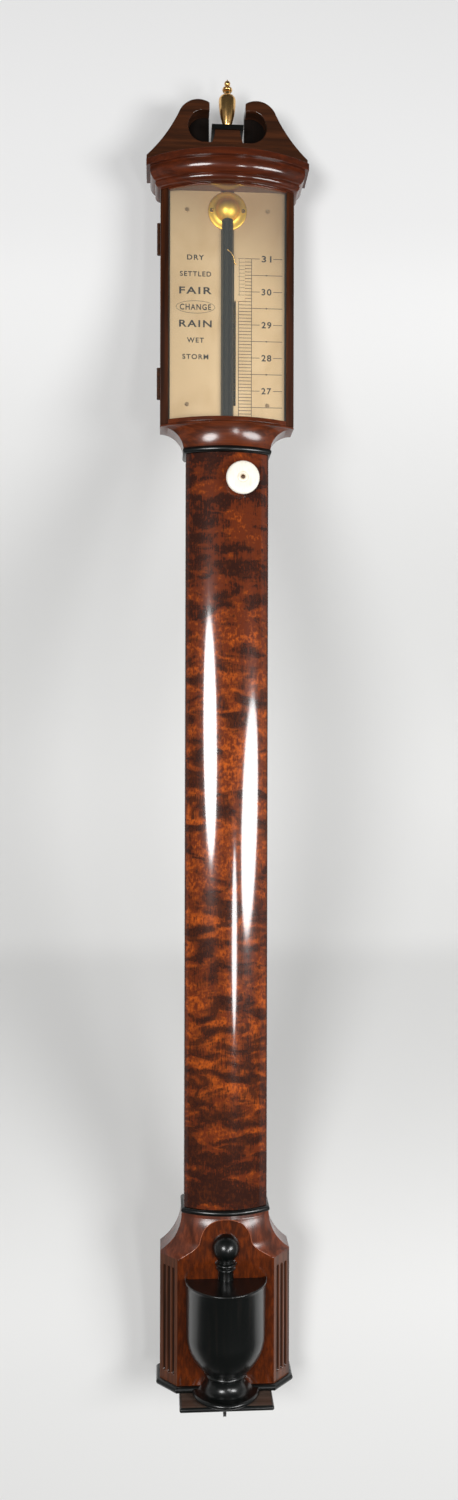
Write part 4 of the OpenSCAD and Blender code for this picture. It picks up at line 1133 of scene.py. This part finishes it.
@dataclass
class Door:
    """Glazed bow-front door: two stiles, two rails and a bent pane."""

    back: float = 13.3
    stile_w: float = 6.2
    rail_h: float = 3.5
    top_rail_h: float = 1.1
    rail_t: float = 3.6
    foot: float = -154.9
    top: float = 24.7
    pane_out: float = -1.0
    pane_t: float = 1.6
    pane_in: float = 1.6
    pane_play: float = 0.05

    def strip(self, half: float, out: float, thick: float, foot: float, top: float) -> Mould:
        """A bent bar, whose four long edges run along the bow.

        Args:
            half: Half width of the bar.
            out: How far its outer face stands out from the bow.
            thick: Its thickness.
            foot: Height of its foot.
            top: Height of its top.

        Returns:
            The mould.
        """
        x = half * np.linspace(-1.0, 1.0, 65)
        depth = HEAD.depth(x, np.array([[out], [out], [out - thick], [out - thick]]))
        return Mould().hoop(spread(x, depth, [[foot], [top], [top], [foot]]))

    def stile(self, side: int) -> Mould:
        """An upright bar whose front follows the bow.

        Args:
            side: -1 for the left bar and 1 for the right one.

        Returns:
            The mould.
        """
        inner = HEAD.half - self.stile_w
        x = np.linspace(inner, HEAD.half, 9)
        front = np.column_stack([x, HEAD.depth(x)])
        x, depth = path(front, (HEAD.half, self.back), (inner, self.back), front[0]).T
        return Mould().rod(spread(side * x, depth, [[self.foot], [self.top]]))

    def build(self) -> None:
        """Casts the frame and the pane."""
        inner = HEAD.half - self.stile_w
        rails = {
            "top": (self.top - self.top_rail_h, self.top),
            "bottom": (self.foot, self.foot + self.rail_h),
        }
        for name, ends in rails.items():
            rail = self.strip(inner, 0.0, self.rail_t, *ends)
            node = f"door_{name}_rail"
            rail.cast(f"bent_{name}_rail", CROSS_MAHOGANY, [node], 30.0, 0.5, Body.DOOR)
        for name, side in {"left": -1, "right": 1}.items():
            stile = self.stile(side)
            stile.cast(f"{name}_stile", MAHOGANY, [f"door_stile_{name}"], 30.0, 0.6, Body.DOOR)
        ends = self.foot + self.rail_h - self.pane_in, self.top - self.top_rail_h / 2
        pane = self.strip(inner + self.pane_in - self.pane_play, self.pane_out, self.pane_t, *ends)
        pane.cast("bent_pane", PANE, ["door_glass"], 50.0, body=Body.DOOR)


# Heights and depths that the register and the setting works share
TOP_MARK = -25.9
TUBE_DEPTH = 22.5
INK_BACK, INK_FRONT = -0.05, 0.03


def ruled(left: Any, right: Any, height: Array, stroke: float) -> Array:
    """Left, right, foot and top of level lines of one stroke, one line per row."""
    thin = stroke / 2
    return np.column_stack(np.broadcast_arrays(left, right, height - thin, height + thin))


@dataclass
class Register:
    """Engraving on the silvered plates, the brass dome and the tube below it."""

    face: float = 21.5
    ladder: Pair = (8.7, 18.7)
    line_end: float = 42.3
    rail_foot: float = -151.5
    stroke: float = 0.42
    numerals: Sequence[int] = range(31, 26, -1)
    numeral_x: float = 30.2
    numeral_gap: float = 5.2
    numeral_size: Pair = (7.6, 5.0)
    diamond: Pair = (1.1, 0.6)
    diamond_proud: float = 0.02
    word_x: float = -24.4
    words: tuple[tuple[str, Pair], ...] = (
        ("DRY", (13.0, 3.9)),
        ("SETTLED", (24.0, 3.9)),
        ("FAIR", (25.0, 5.4)),
        ("CHANGE", (24.0, 4.6)),
        ("RAIN", (25.0, 5.4)),
        ("WET", (13.0, 3.9)),
        ("STORM", (20.0, 3.9)),
    )
    oval: Pair = (14.7, 4.6)
    oval_stroke: float = 0.3
    dome_z: float = 9.8
    dome_r: float = 9.2
    tube_r: float = 4.5
    bore_r: float = 2.5
    tube_foot: float = -835.3

    def lines(self) -> Array:
        """All ruled lines: the ladder of tenths and the lines of the inches.

        Returns:
            Left, right, foot and top, one line per row.
        """
        left, right = self.ladder
        tenths = TOP_MARK - INCH * np.arange(50) / 10
        halves = TOP_MARK - INCH * np.arange(10) / 2
        thin = self.stroke / 2
        return np.concatenate(
            [
                ruled(left, right, tenths, self.stroke),
                ruled(right, self.numeral_x - self.numeral_gap, halves[::2], self.stroke),
                ruled(self.numeral_x + self.numeral_gap, self.line_end, halves[::2], self.stroke),
                ruled(right, self.line_end, halves[1::2], self.stroke),
                [[x - thin, x + thin, self.rail_foot, TOP_MARK] for x in self.ladder],
            ]
        )

    def engraving(self) -> None:
        """Casts the ruled lines with their diamonds, the numerals and the weather words."""
        back, front = self.face + INK_BACK, self.face + INK_FRONT
        wide, tall = self.diamond
        x = self.numeral_x + wide * np.array([-1.0, 0.0, 1.0, 0.0])
        middle = TOP_MARK - INCH * (np.arange(4)[:, None] + 0.5)
        height = middle + tall * np.array([0.0, -1.0, 0.0, 1.0])
        diamonds = np.stack(np.broadcast_arrays(x, height), axis=-1)
        lines = Mould().bars(self.lines(), back, front)
        lines.prisms(diamonds, back, front + self.diamond_proud).cast("scale_lines", INK)
        numerals = Mould()
        for count, number in enumerate(self.numerals):
            spot = (self.numeral_x, TOP_MARK - INCH * count)
            numerals.word(str(number), self.numeral_size, spot, back, front)
        numerals.cast("scale_numerals", INK)
        words = Mould()
        for count, (word, size) in enumerate(self.words):
            words.word(word, size, (self.word_x, TOP_MARK - INCH * count / 2), back, front)
        words.sheet(self.cartouche(back, front), wrap=True).cast("weather_words", INK)

    def cartouche(self, back: float, front: float) -> Array:
        """Oval line round the middle word: an ellipse with a square section.

        Args:
            back: Depth of its back.
            front: Depth of its front.

        Returns:
            The grid of points, whose four rows run round the oval.
        """
        turn = np.linspace(0.0, 2 * np.pi, 97)
        grow = self.oval_stroke * np.array([[0.0], [1.0], [1.0], [0.0]])
        x = self.word_x + (self.oval[0] + grow) * np.cos(turn)
        height = TOP_MARK - 1.5 * INCH + (self.oval[1] + grow) * np.sin(turn)
        return spread(x, [[front], [front], [back], [back]], height)

    def dome(self) -> None:
        """Casts the brass dome: a ball cap that runs into a thin dished flange."""
        profile = path(
            arc(0.0, 0.0, self.dome_r, 90.0, 16.0, 24),
            [(10.2, 1.7), (12.5, 1.25), (14.2, 1.2)],
            arc(14.3, 0.6, 0.5, 80.0, -90.0, 8),
            (0.0, 0.0),
        )
        grid = turned(profile, (0.0, self.face, self.dome_z), Facing.OUT, 96)
        Mould().sheet(grid).cast("tube_boss", SATIN_BRASS, ["tube_dome"], 60.0)

    def tube(self) -> None:
        """Casts the glass tube: a wall between bore and outside that closes in a round end."""
        top = self.dome_z - self.tube_r / 2
        profile = path(
            (self.bore_r, self.tube_foot),
            (self.tube_r, self.tube_foot),
            arc(0.0, top, self.tube_r, 0.0, 90.0, 10),
            arc(0.0, top, self.bore_r, 90.0, 0.0, 8),
            (self.bore_r, self.tube_foot),
        )
        grid = turned(profile, (0.0, TUBE_DEPTH, 0.0))
        Mould().sheet(grid).cast("glass_tube", TUBE_GLASS, ["barometer_tube"], 50.0)

    def build(self) -> None:
        """Casts all of it."""
        self.engraving()
        self.dome()
        self.tube()


@dataclass
class SettingWorks:
    """Vernier with its pointer, and the ivory knob that moves it."""

    face: float = 22.8
    left: float = 5.2
    right: float = 13.5
    divisions: int = 10
    mark_end: float = 0.3
    mark_length: float = 4.0
    long_mark: float = 1.2
    mark_stroke: float = 0.26
    first_mark: float = 0.6
    edge_in: float = 4.6
    edge_stroke: float = 0.25
    edge_ends: Pair = (29.0, 0.4)
    pointer_r: float = 5.45
    pointer_turn: Pair = (72.0, -6.0)
    pointer_start: Point = (1.6, 0.3, 5.6)
    pointer_drop: float = 4.5
    pointer_rise: float = 8.2
    pointer_curve: float = 0.6
    pointer_wire: float = 0.36
    knob: Point = (11.0, 33.6, -198.5)
    knob_r: float = 12.6
    rim_r: float = 2.1
    stem: Pair = (6.3, 4.2)

    def marks(self) -> None:
        """Casts the vernier's lines: eleven tenths of an inch in ten parts."""
        count = np.arange(self.divisions + 1)
        height = TOP_MARK - self.first_mark - 1.1 * INCH * count / self.divisions
        length = self.mark_length + np.where(count % 5 == 0, self.long_mark, 0.0)
        right, edge = self.right - self.mark_end, self.right - self.edge_in
        low, high = (TOP_MARK - drop for drop in self.edge_ends)
        marks = ruled(right - length, right, height, self.mark_stroke)
        boxes = np.concatenate([marks, [[edge, edge + self.edge_stroke, low, high]]])
        lines = Mould().bars(boxes, self.face + INK_BACK, self.face + INK_FRONT)
        lines.cast("vernier_lines", INK, body=Body.VERNIER)

    def pointer(self) -> None:
        """Casts the pointer: a wire from the vernier plate that bends round the front of the tube.

        Its angle round the tube goes evenly past the middle while it rises in a curve.
        """
        share = np.linspace(0.0, 1.0, 25)
        angle = np.radians(np.linspace(*self.pointer_turn, 25))
        x, out = self.pointer_r * np.sin(angle), self.pointer_r * np.cos(angle)
        rise = self.pointer_rise * share**self.pointer_curve - self.pointer_drop
        across, proud, drop = self.pointer_start
        start = spread(self.left + across, self.face + proud, TOP_MARK - drop)
        line = path(start, spread(x, TUBE_DEPTH + out, TOP_MARK + rise))
        mould = Mould().wire(line, self.pointer_wire)
        mould.cast("bent_pointer", BRASS, ["vernier_pointer"], 60.0, body=Body.VERNIER)

    def handle(self) -> None:
        """Casts the knob: a stem, a round rim and a nearly flat face with a ring round the peg."""
        stem_r, stem_top = self.stem
        profile = path(
            [(0.0, 0.0), (stem_r, 0.0), self.stem],
            arc(self.knob_r - self.rim_r, stem_top + self.rim_r, self.rim_r, -90.0, 66.0, 16),
            [(8.5, 8.75), (4.3, 8.95), (3.9, 8.75), (3.5, 8.95)],
            [(2.0, 9.0), (1.8, 8.8), (0.0, 8.8)],
        )
        grid = turned(profile, self.knob, Facing.OUT, 120)
        Mould().sheet(grid).cast("ivory_knob", IVORY, ["setting_knob"], 40.0, body=Body.WORKS)
        button = path(arc(0.0, 6.7, 2.75, 90.0, 54.0, 8), [(1.6, 8.2), (0.0, 8.2)])
        grid = turned(button, self.knob, Facing.OUT, 32)
        Mould().sheet(grid).cast("knob_button", DARK_PEG, ["knob_peg"], 40.0, body=Body.WORKS)

    def build(self) -> None:
        """Casts all of them."""
        self.marks()
        self.pointer()
        self.handle()


@dataclass
class Base:
    """Coved shoulder, fluted cants and black foot moulding of the cistern case."""

    half: float = 49.7
    side_d: float = 19.7
    front: float = 32.7
    panel_half: float = 36.7
    shoulder_top: float = -756.5
    top: float = -789.0
    foot: float = -884.3
    side_in: float = 16.3
    cant_in: float = 9.3
    hollow_foot: float = 2.0
    trunk_axis: float = 27.3
    arch_top: float = 3.0
    arch_half: float = 21.0
    arch_round: float = 8.0
    arch_flare: float = 20.5
    flare_power: float = 1.6
    arch_ease: float = 0.4
    arris_r: float = 0.28
    arris_sunk: float = 0.1
    cant_t: float = 5.0
    flute_r: float = 1.5
    flute_margin: float = 8.5
    plinth_h: float = 5.2
    plinth_p: float = 2.8
    shelf_half: float = 34.5
    shelf_front: float = 53.3
    shelf_t: float = 3.3
    shelf_corner: float = 0.8
    edge_in: float = 0.8
    edge_axis: float = 1.1
    edge_over: float = 0.15

    @property
    def shoulder_h(self) -> float:
        """Height of the shoulder."""
        return self.shoulder_top - self.top

    @property
    def cant_reach(self) -> float:
        """Distance of the canted faces from the axis of the wall plane."""
        return (self.half + self.side_d) / ROOT_TWO

    def hollowed(self, drop: Array, reach: float, inward: float) -> Array:
        """Reach of a side that is hollowed by a circle from its top edge down to a plain foot.

        Args:
            drop: Distance below the shoulder's top.
            reach: Reach of the plain foot.
            inward: How far the top edge lies inside it.

        Returns:
            The reach at each drop.
        """
        tall = self.shoulder_h - self.hollow_foot
        radius = (inward**2 + tall**2) / (2 * inward)
        edge = reach - inward + radius - np.sqrt(np.maximum(radius**2 - drop**2, 0.0))
        return np.minimum(reach, edge)

    def arch(self, drop: Array) -> Array:
        """Half width of the arched front: a round head, then a flare to the corners.

        The head is its width times sqrt(1 - exp(-fall over its rounding)), and the flare is a
        power of the drop.

        Args:
            drop: Distance below the shoulder's top.

        Returns:
            The half width at each drop.
        """
        fall = np.maximum(drop - self.arch_top, 0.0)
        flare = np.maximum(drop - self.arch_flare, 0.0) / (self.shoulder_h - self.arch_flare)
        head = self.arch_half * np.sqrt(1.0 - np.exp(-fall / self.arch_round))
        return head + (self.panel_half - self.arch_half) * flare**self.flare_power

    def shoulder(self) -> None:
        """Casts the shoulder: its depth is the least of flat front, bowed cove and cant.

        The bowed cove has its axis behind the trunk, and its radius grows so that it meets the
        flat front along the arch.
        """
        drop = np.linspace(0.0, self.shoulder_h, 97)[:, None]
        radius = np.sqrt((self.trunk_axis + self.front) ** 2 + self.arch(drop) ** 2)
        radius = radius - self.arch_ease * np.clip(1.0 - drop / self.arch_top, 0.0, 1.0)
        x = self.hollowed(drop, self.half, self.side_in) * np.linspace(-1.0, 1.0, 257)
        cove = np.sqrt(radius**2 - x**2) - self.trunk_axis
        cant = ROOT_TWO * self.hollowed(drop, self.cant_reach, self.cant_in) - np.abs(x)
        outer = walled(x, np.minimum(np.minimum(self.front, cove), cant), self.shoulder_top - drop)
        inner = HOLLOW.levels((self.shoulder_top, self.top), steps=256)
        Mould().shell(outer, inner).cast("coved_shoulder", SHOULDER, ["base_shoulder"], 24.0)

    def arris(self) -> None:
        """Casts the pale edge of the arch, a painted highlight, as a fine wire, with its points
        closer at the head.
        """
        fall = self.arch_top + (self.shoulder_h - self.arch_top) * np.linspace(0.0, 0.98, 65) ** 2
        right = spread(self.arch(fall), self.front - self.arris_sunk, self.shoulder_top - fall)
        line = np.concatenate([right[:0:-1] * (-1.0, 1.0, 1.0), right])
        Mould().wire(line, self.arris_r).cast("arch_arris", ARRIS_HIGHLIGHT, (), 60.0)

    def canted(self, along: Array, deep: Any, height: Array) -> Array:
        """Points so far along the right canted face and so deep below it, one row per height."""
        x, depth = self.half - (along + deep) / ROOT_TWO, self.side_d + (along - deep) / ROOT_TWO
        return spread(x, depth, height)

    def cant(self, name: str, side: int) -> None:
        """Casts one fluted corner: the canted face less round-ended grooves of a circle's depth.

        Args:
            name: Which corner it is.
            side: -1 for the left corner and 1 for the right one.
        """
        length = math.hypot(self.half - self.panel_half, self.front - self.side_d)
        along = length * np.linspace(0.0, 1.0, 145)
        share = 0.5 - 0.5 * np.cos(np.pi * np.linspace(0.0, 1.0, 121)[:, None])
        height = self.foot + (self.top - self.foot) * share
        low, high = self.foot + self.flute_margin, self.top - self.flute_margin
        past = np.maximum(np.maximum(low - height, height - high), 0.0)
        off = np.min(np.abs(along[:, None] - length * np.arange(1, 4) / 4.0), axis=-1)
        deep = np.sqrt(np.maximum(self.flute_r**2 - off**2 - past**2, 0.0))
        face, back = self.canted(along, deep, height), self.canted(along, self.cant_t, height)
        rings = np.concatenate([face, back[:, ::-1], face[:, :1]], axis=1) * (side, 1.0, 1.0)
        Mould().rod(rings).cast(f"fluted_{name}_cant", FLUTED, [f"fluted_corner_{name}"], 40.0)

    def plinth(self) -> None:
        """Casts the black foot moulding: a half round carried round the canted plan."""
        radius = self.plinth_h / 2
        section = arc(self.plinth_p - radius, self.foot - radius, radius, -90.0, 90.0, 18)
        out, level = np.hsplit(section, 2)
        side, front = self.half + out, self.front + out
        reach = ROOT_TWO * (self.cant_reach + out)
        x = np.hstack([-side, front - reach, reach - front, side])
        levels = walled(x, np.hstack([reach - side, front, front, reach - side]), level)
        Mould().block(levels).cast("black_foot", EBONY, ["base_plinth_moulding"], 30.0, 0.2)

    def shelf_edge(self) -> None:
        """Casts the black edge of the shelf: a round section carried along its sides and front.

        The corners are quarter circles whose radius grows with the section's projection.
        """
        foot = self.foot - self.plinth_h - self.shelf_t
        middle, radius = foot + self.shelf_t / 2, self.shelf_t / 2 + self.edge_over
        section = path(
            (-self.edge_in, middle - radius),
            arc(-self.edge_axis, middle, radius, -80.0, 80.0, 14),
            (-self.edge_in, middle + radius),
        )
        out, level = np.hsplit(section, 2)
        turn = np.radians(np.linspace(0.0, 90.0, 9))
        corner = self.shelf_corner
        x = self.shelf_half - corner + (corner + out) * np.cos(turn)
        depth = self.shelf_front - corner + (corner + out) * np.sin(turn)
        rows = walled(np.hstack([x, -x[:, ::-1]]), np.hstack([depth, depth[:, ::-1]]), level)
        Mould().hoop(rows).cast("black_shelf_edge", EBONY, (), 50.0)

    def build(self) -> None:
        """Casts all of it."""
        self.shoulder()
        self.arris()
        self.cant("left", -1)
        self.cant("right", 1)
        self.plinth()
        self.shelf_edge()


@dataclass
class Urn:
    """Black half urn that hides the cistern: foot, bowl, lid and ball."""

    depth: float = 32.7
    rim: float = -803.0
    rim_r: float = 31.2
    wall_r: float = 29.9
    thick: float = 4.0
    round_z: float = -843.5
    neck_z: float = -871.5
    neck_r: float = 16.4
    foot_neck_r: float = 15.3
    ring_r: float = 2.2
    shelf: float = -889.5
    foot_r: float = 25.6
    foot_t: float = 4.0
    lid_r: float = 29.1
    lid_t: float = 3.0
    lid_drop: float = 0.8
    ball_r: float = 10.5
    ball_z: float = -780.4

    def turn(self, name: str, node: str, *profile: Any) -> None:
        """Casts the front half of a closed profile turned on the urn's axis, with a flat back."""
        grid = turned(path(*profile), (0.0, self.depth, 0.0), Facing.UP, 96, (-90.0, 90.0))
        Mould().sheet(grid).lid(grid[0]).lid(grid[-1]).cast(name, EBONY, [node], 34.0)

    def belly(self, inset: float) -> Array:
        """Part of an ellipse: the radius goes with the cosine of an angle, the fall with its sine.

        Args:
            inset: How far the line lies inside the outer one.

        Returns:
            The points, from the neck up to the straight wall.
        """
        start = -math.acos(self.neck_r / self.wall_r)
        tall = (self.neck_z - self.round_z) / math.sin(start) - inset
        angle = np.linspace(start, 0.0, 36)
        return np.column_stack(
            [(self.wall_r - inset) * np.cos(angle), self.round_z + tall * np.sin(angle)]
        )

    def bowl(self) -> None:
        """Casts the bowl: a straight wall with a rounded rim on a round belly, hollow inside."""
        inner = self.belly(self.thick)[::-1]
        seat_r = self.lid_r + 0.1
        self.turn(
            "urn_bowl_turned",
            "urn_bowl",
            (0.0, self.neck_z),
            self.belly(0.0),
            (self.wall_r + 0.5, self.rim - 3.5),
            arc(self.rim_r - 0.8, self.rim - 0.8, 0.8, -30.0, 90.0, 8),
            [(seat_r, self.rim), (seat_r, self.rim - 4.0)],
            (self.wall_r - self.thick, self.rim - 4.2),
            inner,
            (0.0, inner[-1, 1]),
        )

    def lid(self) -> None:
        """Casts the lid, a little below the rim."""
        top = self.rim - self.lid_drop
        foot = top - self.lid_t
        edge = [(self.lid_r, foot), (self.lid_r, top - 0.4), (self.lid_r - 0.4, top)]
        self.turn("urn_lid_turned", "urn_lid", (0.0, foot), edge, (0.0, top))

    def ball(self) -> None:
        """Casts the ball on its ringed stem."""
        stem = path(
            [(0.0, 0.0), (6.0, 0.0), (5.9, 5.0), (6.2, 7.0)],
            arc(6.6, 8.0, 0.7, -60.0, 60.0, 6),
            [(6.3, 9.2), (6.9, 10.3)],
            arc(7.2, 11.6, 1.1, -60.0, 60.0, 10),
            [(6.6, 12.9), (6.8, 13.5), (6.0, 14.2)],
        )
        stem[:, 1] += self.rim - self.lid_drop
        ball = arc(0.0, self.ball_z, self.ball_r, -53.0, 90.0, 40)
        self.turn("urn_ball", "urn_finial", stem, ball)

    def foot(self) -> None:
        """Casts the foot: a ring under the bowl, a hollow flare and a round-edged disc."""
        radius, neck_r = self.foot_t / 2, self.foot_neck_r
        edge = self.foot_r - radius
        flare = edge - neck_r
        self.turn(
            "urn_foot_turned",
            "urn_foot",
            [(0.0, self.shelf), (edge, self.shelf)],
            arc(edge, self.shelf + radius, radius, -90.0, 90.0, 14),
            arc(edge, self.shelf + self.foot_t + flare, flare, -90.0, -180.0, 20),
            (neck_r, self.neck_z - 2 * self.ring_r),
            arc(neck_r - self.ring_r / 2, self.neck_z - self.ring_r, self.ring_r, -60.0, 60.0, 14),
            [(neck_r, self.neck_z), (0.0, self.neck_z)],
        )

    def build(self) -> None:
        """Casts all of it."""
        self.bowl()
        self.lid()
        self.ball()
        self.foot()


# Where the lamps look, in metres
TRUNK_Y = -0.03


class LampShape(Enum):
    """Shapes of a soft lamp."""

    OVAL = "ELLIPSE"
    SQUARE = "RECTANGLE"


@dataclass(frozen=True)
class Lamp:
    """A soft lamp that faces the trunk, with its power in watts and its roll in degrees."""

    name: str
    place: Point
    size: Pair
    power: float
    roll: float = 0.0
    shape: LampShape = LampShape.OVAL

    def light(self) -> None:
        """Hangs the lamp in its place."""
        light = bpy.data.lights.new(self.name, "AREA")
        light.shape = self.shape.value
        light.size, light.size_y = (side * MM for side in self.size)
        light.energy = self.power
        lamp = bpy.data.objects.new(self.name, light)
        bpy.context.scene.collection.objects.link(lamp)
        lamp.location = spot = np.array(self.place) * MM
        turn = math.atan2(spot[0], TRUNK_Y - spot[1])
        lamp.rotation_euler = (math.pi / 2, math.radians(self.roll), turn)


LAMPS = (
    Lamp("left_lamp", (-560.0, -1400.0, -376.0), (570.0, 460.0), 14.0, 40.0),
    Lamp("right_lamp", (915.0, -1190.0, -540.0), (720.0, 440.0), 14.5, -22.0),
    Lamp("low_lamp", (388.0, -1480.0, -801.0), (190.0, 380.0), 3.2),
    Lamp("left_side", (-1500.0, -370.0, -450.0), (1200.0, 2000.0), 1.5, shape=LampShape.SQUARE),
    Lamp("right_side", (1500.0, -370.0, -450.0), (1200.0, 2000.0), 1.5, shape=LampShape.SQUARE),
    Lamp("rear_lamp", (300.0, 1700.0, -300.0), (900.0, 900.0), 12.0),
)


@dataclass
class Room:
    """Wall behind the barometer, the lamps and the camera. The wall's sizes are in metres."""

    camera: Point = (-49.0, -876.0, -405.0)
    target: Point = (2.0, -24.0, -405.0)
    focal: float = 1115.0
    horizon: float = 752.0
    roll: float = -0.0024
    sensor: float = 36.0
    surround: float = 0.06
    wall_half: float = 4.0
    wall_back: float = 0.02
    wall_swell: float = 0.3
    swell_z: float = -0.44
    swell_half: float = 0.45

    def wall_paint(self) -> Material:
        """Mixes the wall's pale paint with painted light and shade; clear from behind, it gives a
        quarter of its light itself.

        Returns:
            The finished material.
        """
        recipe = Recipe("pale_wall")
        height = recipe.axis("Z")
        # painted light and shade on the wall: lighter towards the top, a darker band low down
        colour = recipe.blend(height.ramp(-0.35, 0.13), (220, 220, 219), (233, 233, 233))
        low = recipe.blend((0.0 - height).ramp(0.61, 0.92), (207, 207, 206), (223, 223, 222))
        colour = recipe.blend((0.0 - height).ramp(0.585, 0.62), colour, low)
        colour = recipe.blend(0.2 * recipe.noise((2.0, 2.0, 2.0), 2.0), colour, (214, 214, 212))
        behind = recipe.term("ShaderNodeNewGeometry", {}, {}, "Backfacing")
        dimmed = recipe.blend(0.25, colour, (0, 0, 0))
        return recipe.finish(dimmed, 0.9, glow=colour, glow_strength=0.3, alpha=1.0 - behind)

    def wall(self) -> None:
        """Makes the wall, a stage piece that falls back behind the trunk along a cosine."""
        mesh = bpy.data.meshes.new("wall")
        height = np.linspace(-self.wall_half, self.wall_half, 321)
        turn = math.pi * np.clip((height - self.swell_z) / self.swell_half, -1.0, 1.0)
        y = self.wall_back + self.wall_swell * (0.5 + 0.5 * np.cos(turn))
        points = spread([-self.wall_half, self.wall_half], -y[:, None], height[:, None])
        faces = 2 * np.arange(len(height) - 1)[:, None] + [0, 1, 3, 2]
        mesh.from_pydata(points.reshape(-1, 3), [], faces.tolist())
        mesh.shade_smooth()
        mesh.materials.append(self.wall_paint())
        wall = bpy.data.objects.new("wall", mesh)
        bpy.context.scene.collection.objects.link(wall)

    def lights(self) -> None:
        """Hangs the lamps, and adds a dim even surround."""
        for lamp in LAMPS:
            lamp.light()
        world = bpy.data.worlds.new("surround")
        world.use_nodes = True
        inputs = world.node_tree.nodes["Background"].inputs
        inputs["Color"].default_value = (1.0, 1.0, 1.0, 1.0)
        inputs["Strength"].default_value = self.surround
        bpy.context.scene.world = world

    def view(self) -> None:
        """Sets the camera, and the plain view transform."""
        lens = bpy.data.cameras.new("camera")
        lens.sensor_width = self.sensor
        lens.lens = self.focal * self.sensor / PHOTO_HEIGHT
        lens.shift_y = (self.horizon - PHOTO_HEIGHT / 2) / PHOTO_HEIGHT
        lens.clip_start, lens.clip_end = 0.01, 50.0
        camera = bpy.data.objects.new("camera", lens)
        bpy.context.scene.collection.objects.link(camera)
        camera.location = np.array(self.camera) * MM
        look = np.array(self.target) - self.camera
        camera.rotation_euler = (math.pi / 2, self.roll, math.atan2(-look[0], look[1]))
        bpy.context.scene.camera = camera
        bpy.context.scene.view_settings.view_transform = "Standard"

    def build(self) -> None:
        """Sets up all of it."""
        self.wall()
        self.lights()
        self.view()


def dress_model() -> None:
    """Gives the nodes of the model that are seen as they are their finishes."""
    finishes = {
        MAHOGANY: "head_side_left head_side_right base_side_left base_side_right",
        SHEEN_MAHOGANY: "urn_shelf",
        PANEL_MAHOGANY: "base_front_panel",
        DARK_BOARD: "register_board pediment_backing",
        RAW_BOARD: "backboard",
        EBONY: "plinth_cap",
        SILVER: "register_plate_left register_plate_right vernier_plate",
        SCREW_SILVER: "register_screws",
        BRASS: "dome_screws rack rack_keeper keeper_screws pinion arbor_bush screw_bush",
        SHADED_OLD_BRASS: "hinge_case_leaves hinge_door_leaves hinge_pins hanger_plate",
        STEEL: "pinion_arbor portable_screw hanger_screws",
        MERCURY: "mercury_column cistern_mercury",
        BOXWOOD: "cistern_body cistern_cap screw_pad",
        LEATHER: "leather_bag",
    }
    for finish, nodes in finishes.items():
        for name in nodes.split():
            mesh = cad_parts[name].data
            mesh.materials.clear()
            mesh.materials.append(finish.material())
        LOG.info("%s: %s", finish.name, nodes)


def main() -> None:
    """Builds the barometer from the top down, then the room round it."""
    logging.basicConfig(level=logging.INFO)
    dress_model()
    parts = (Pediment, HeadMouldings, Trunk, Door, Register, SettingWorks, Base, Urn, Room)
    for part in parts:
        LOG.info("building %s", part.__name__)
        part().build()


if __name__ == "__main__":
    main()
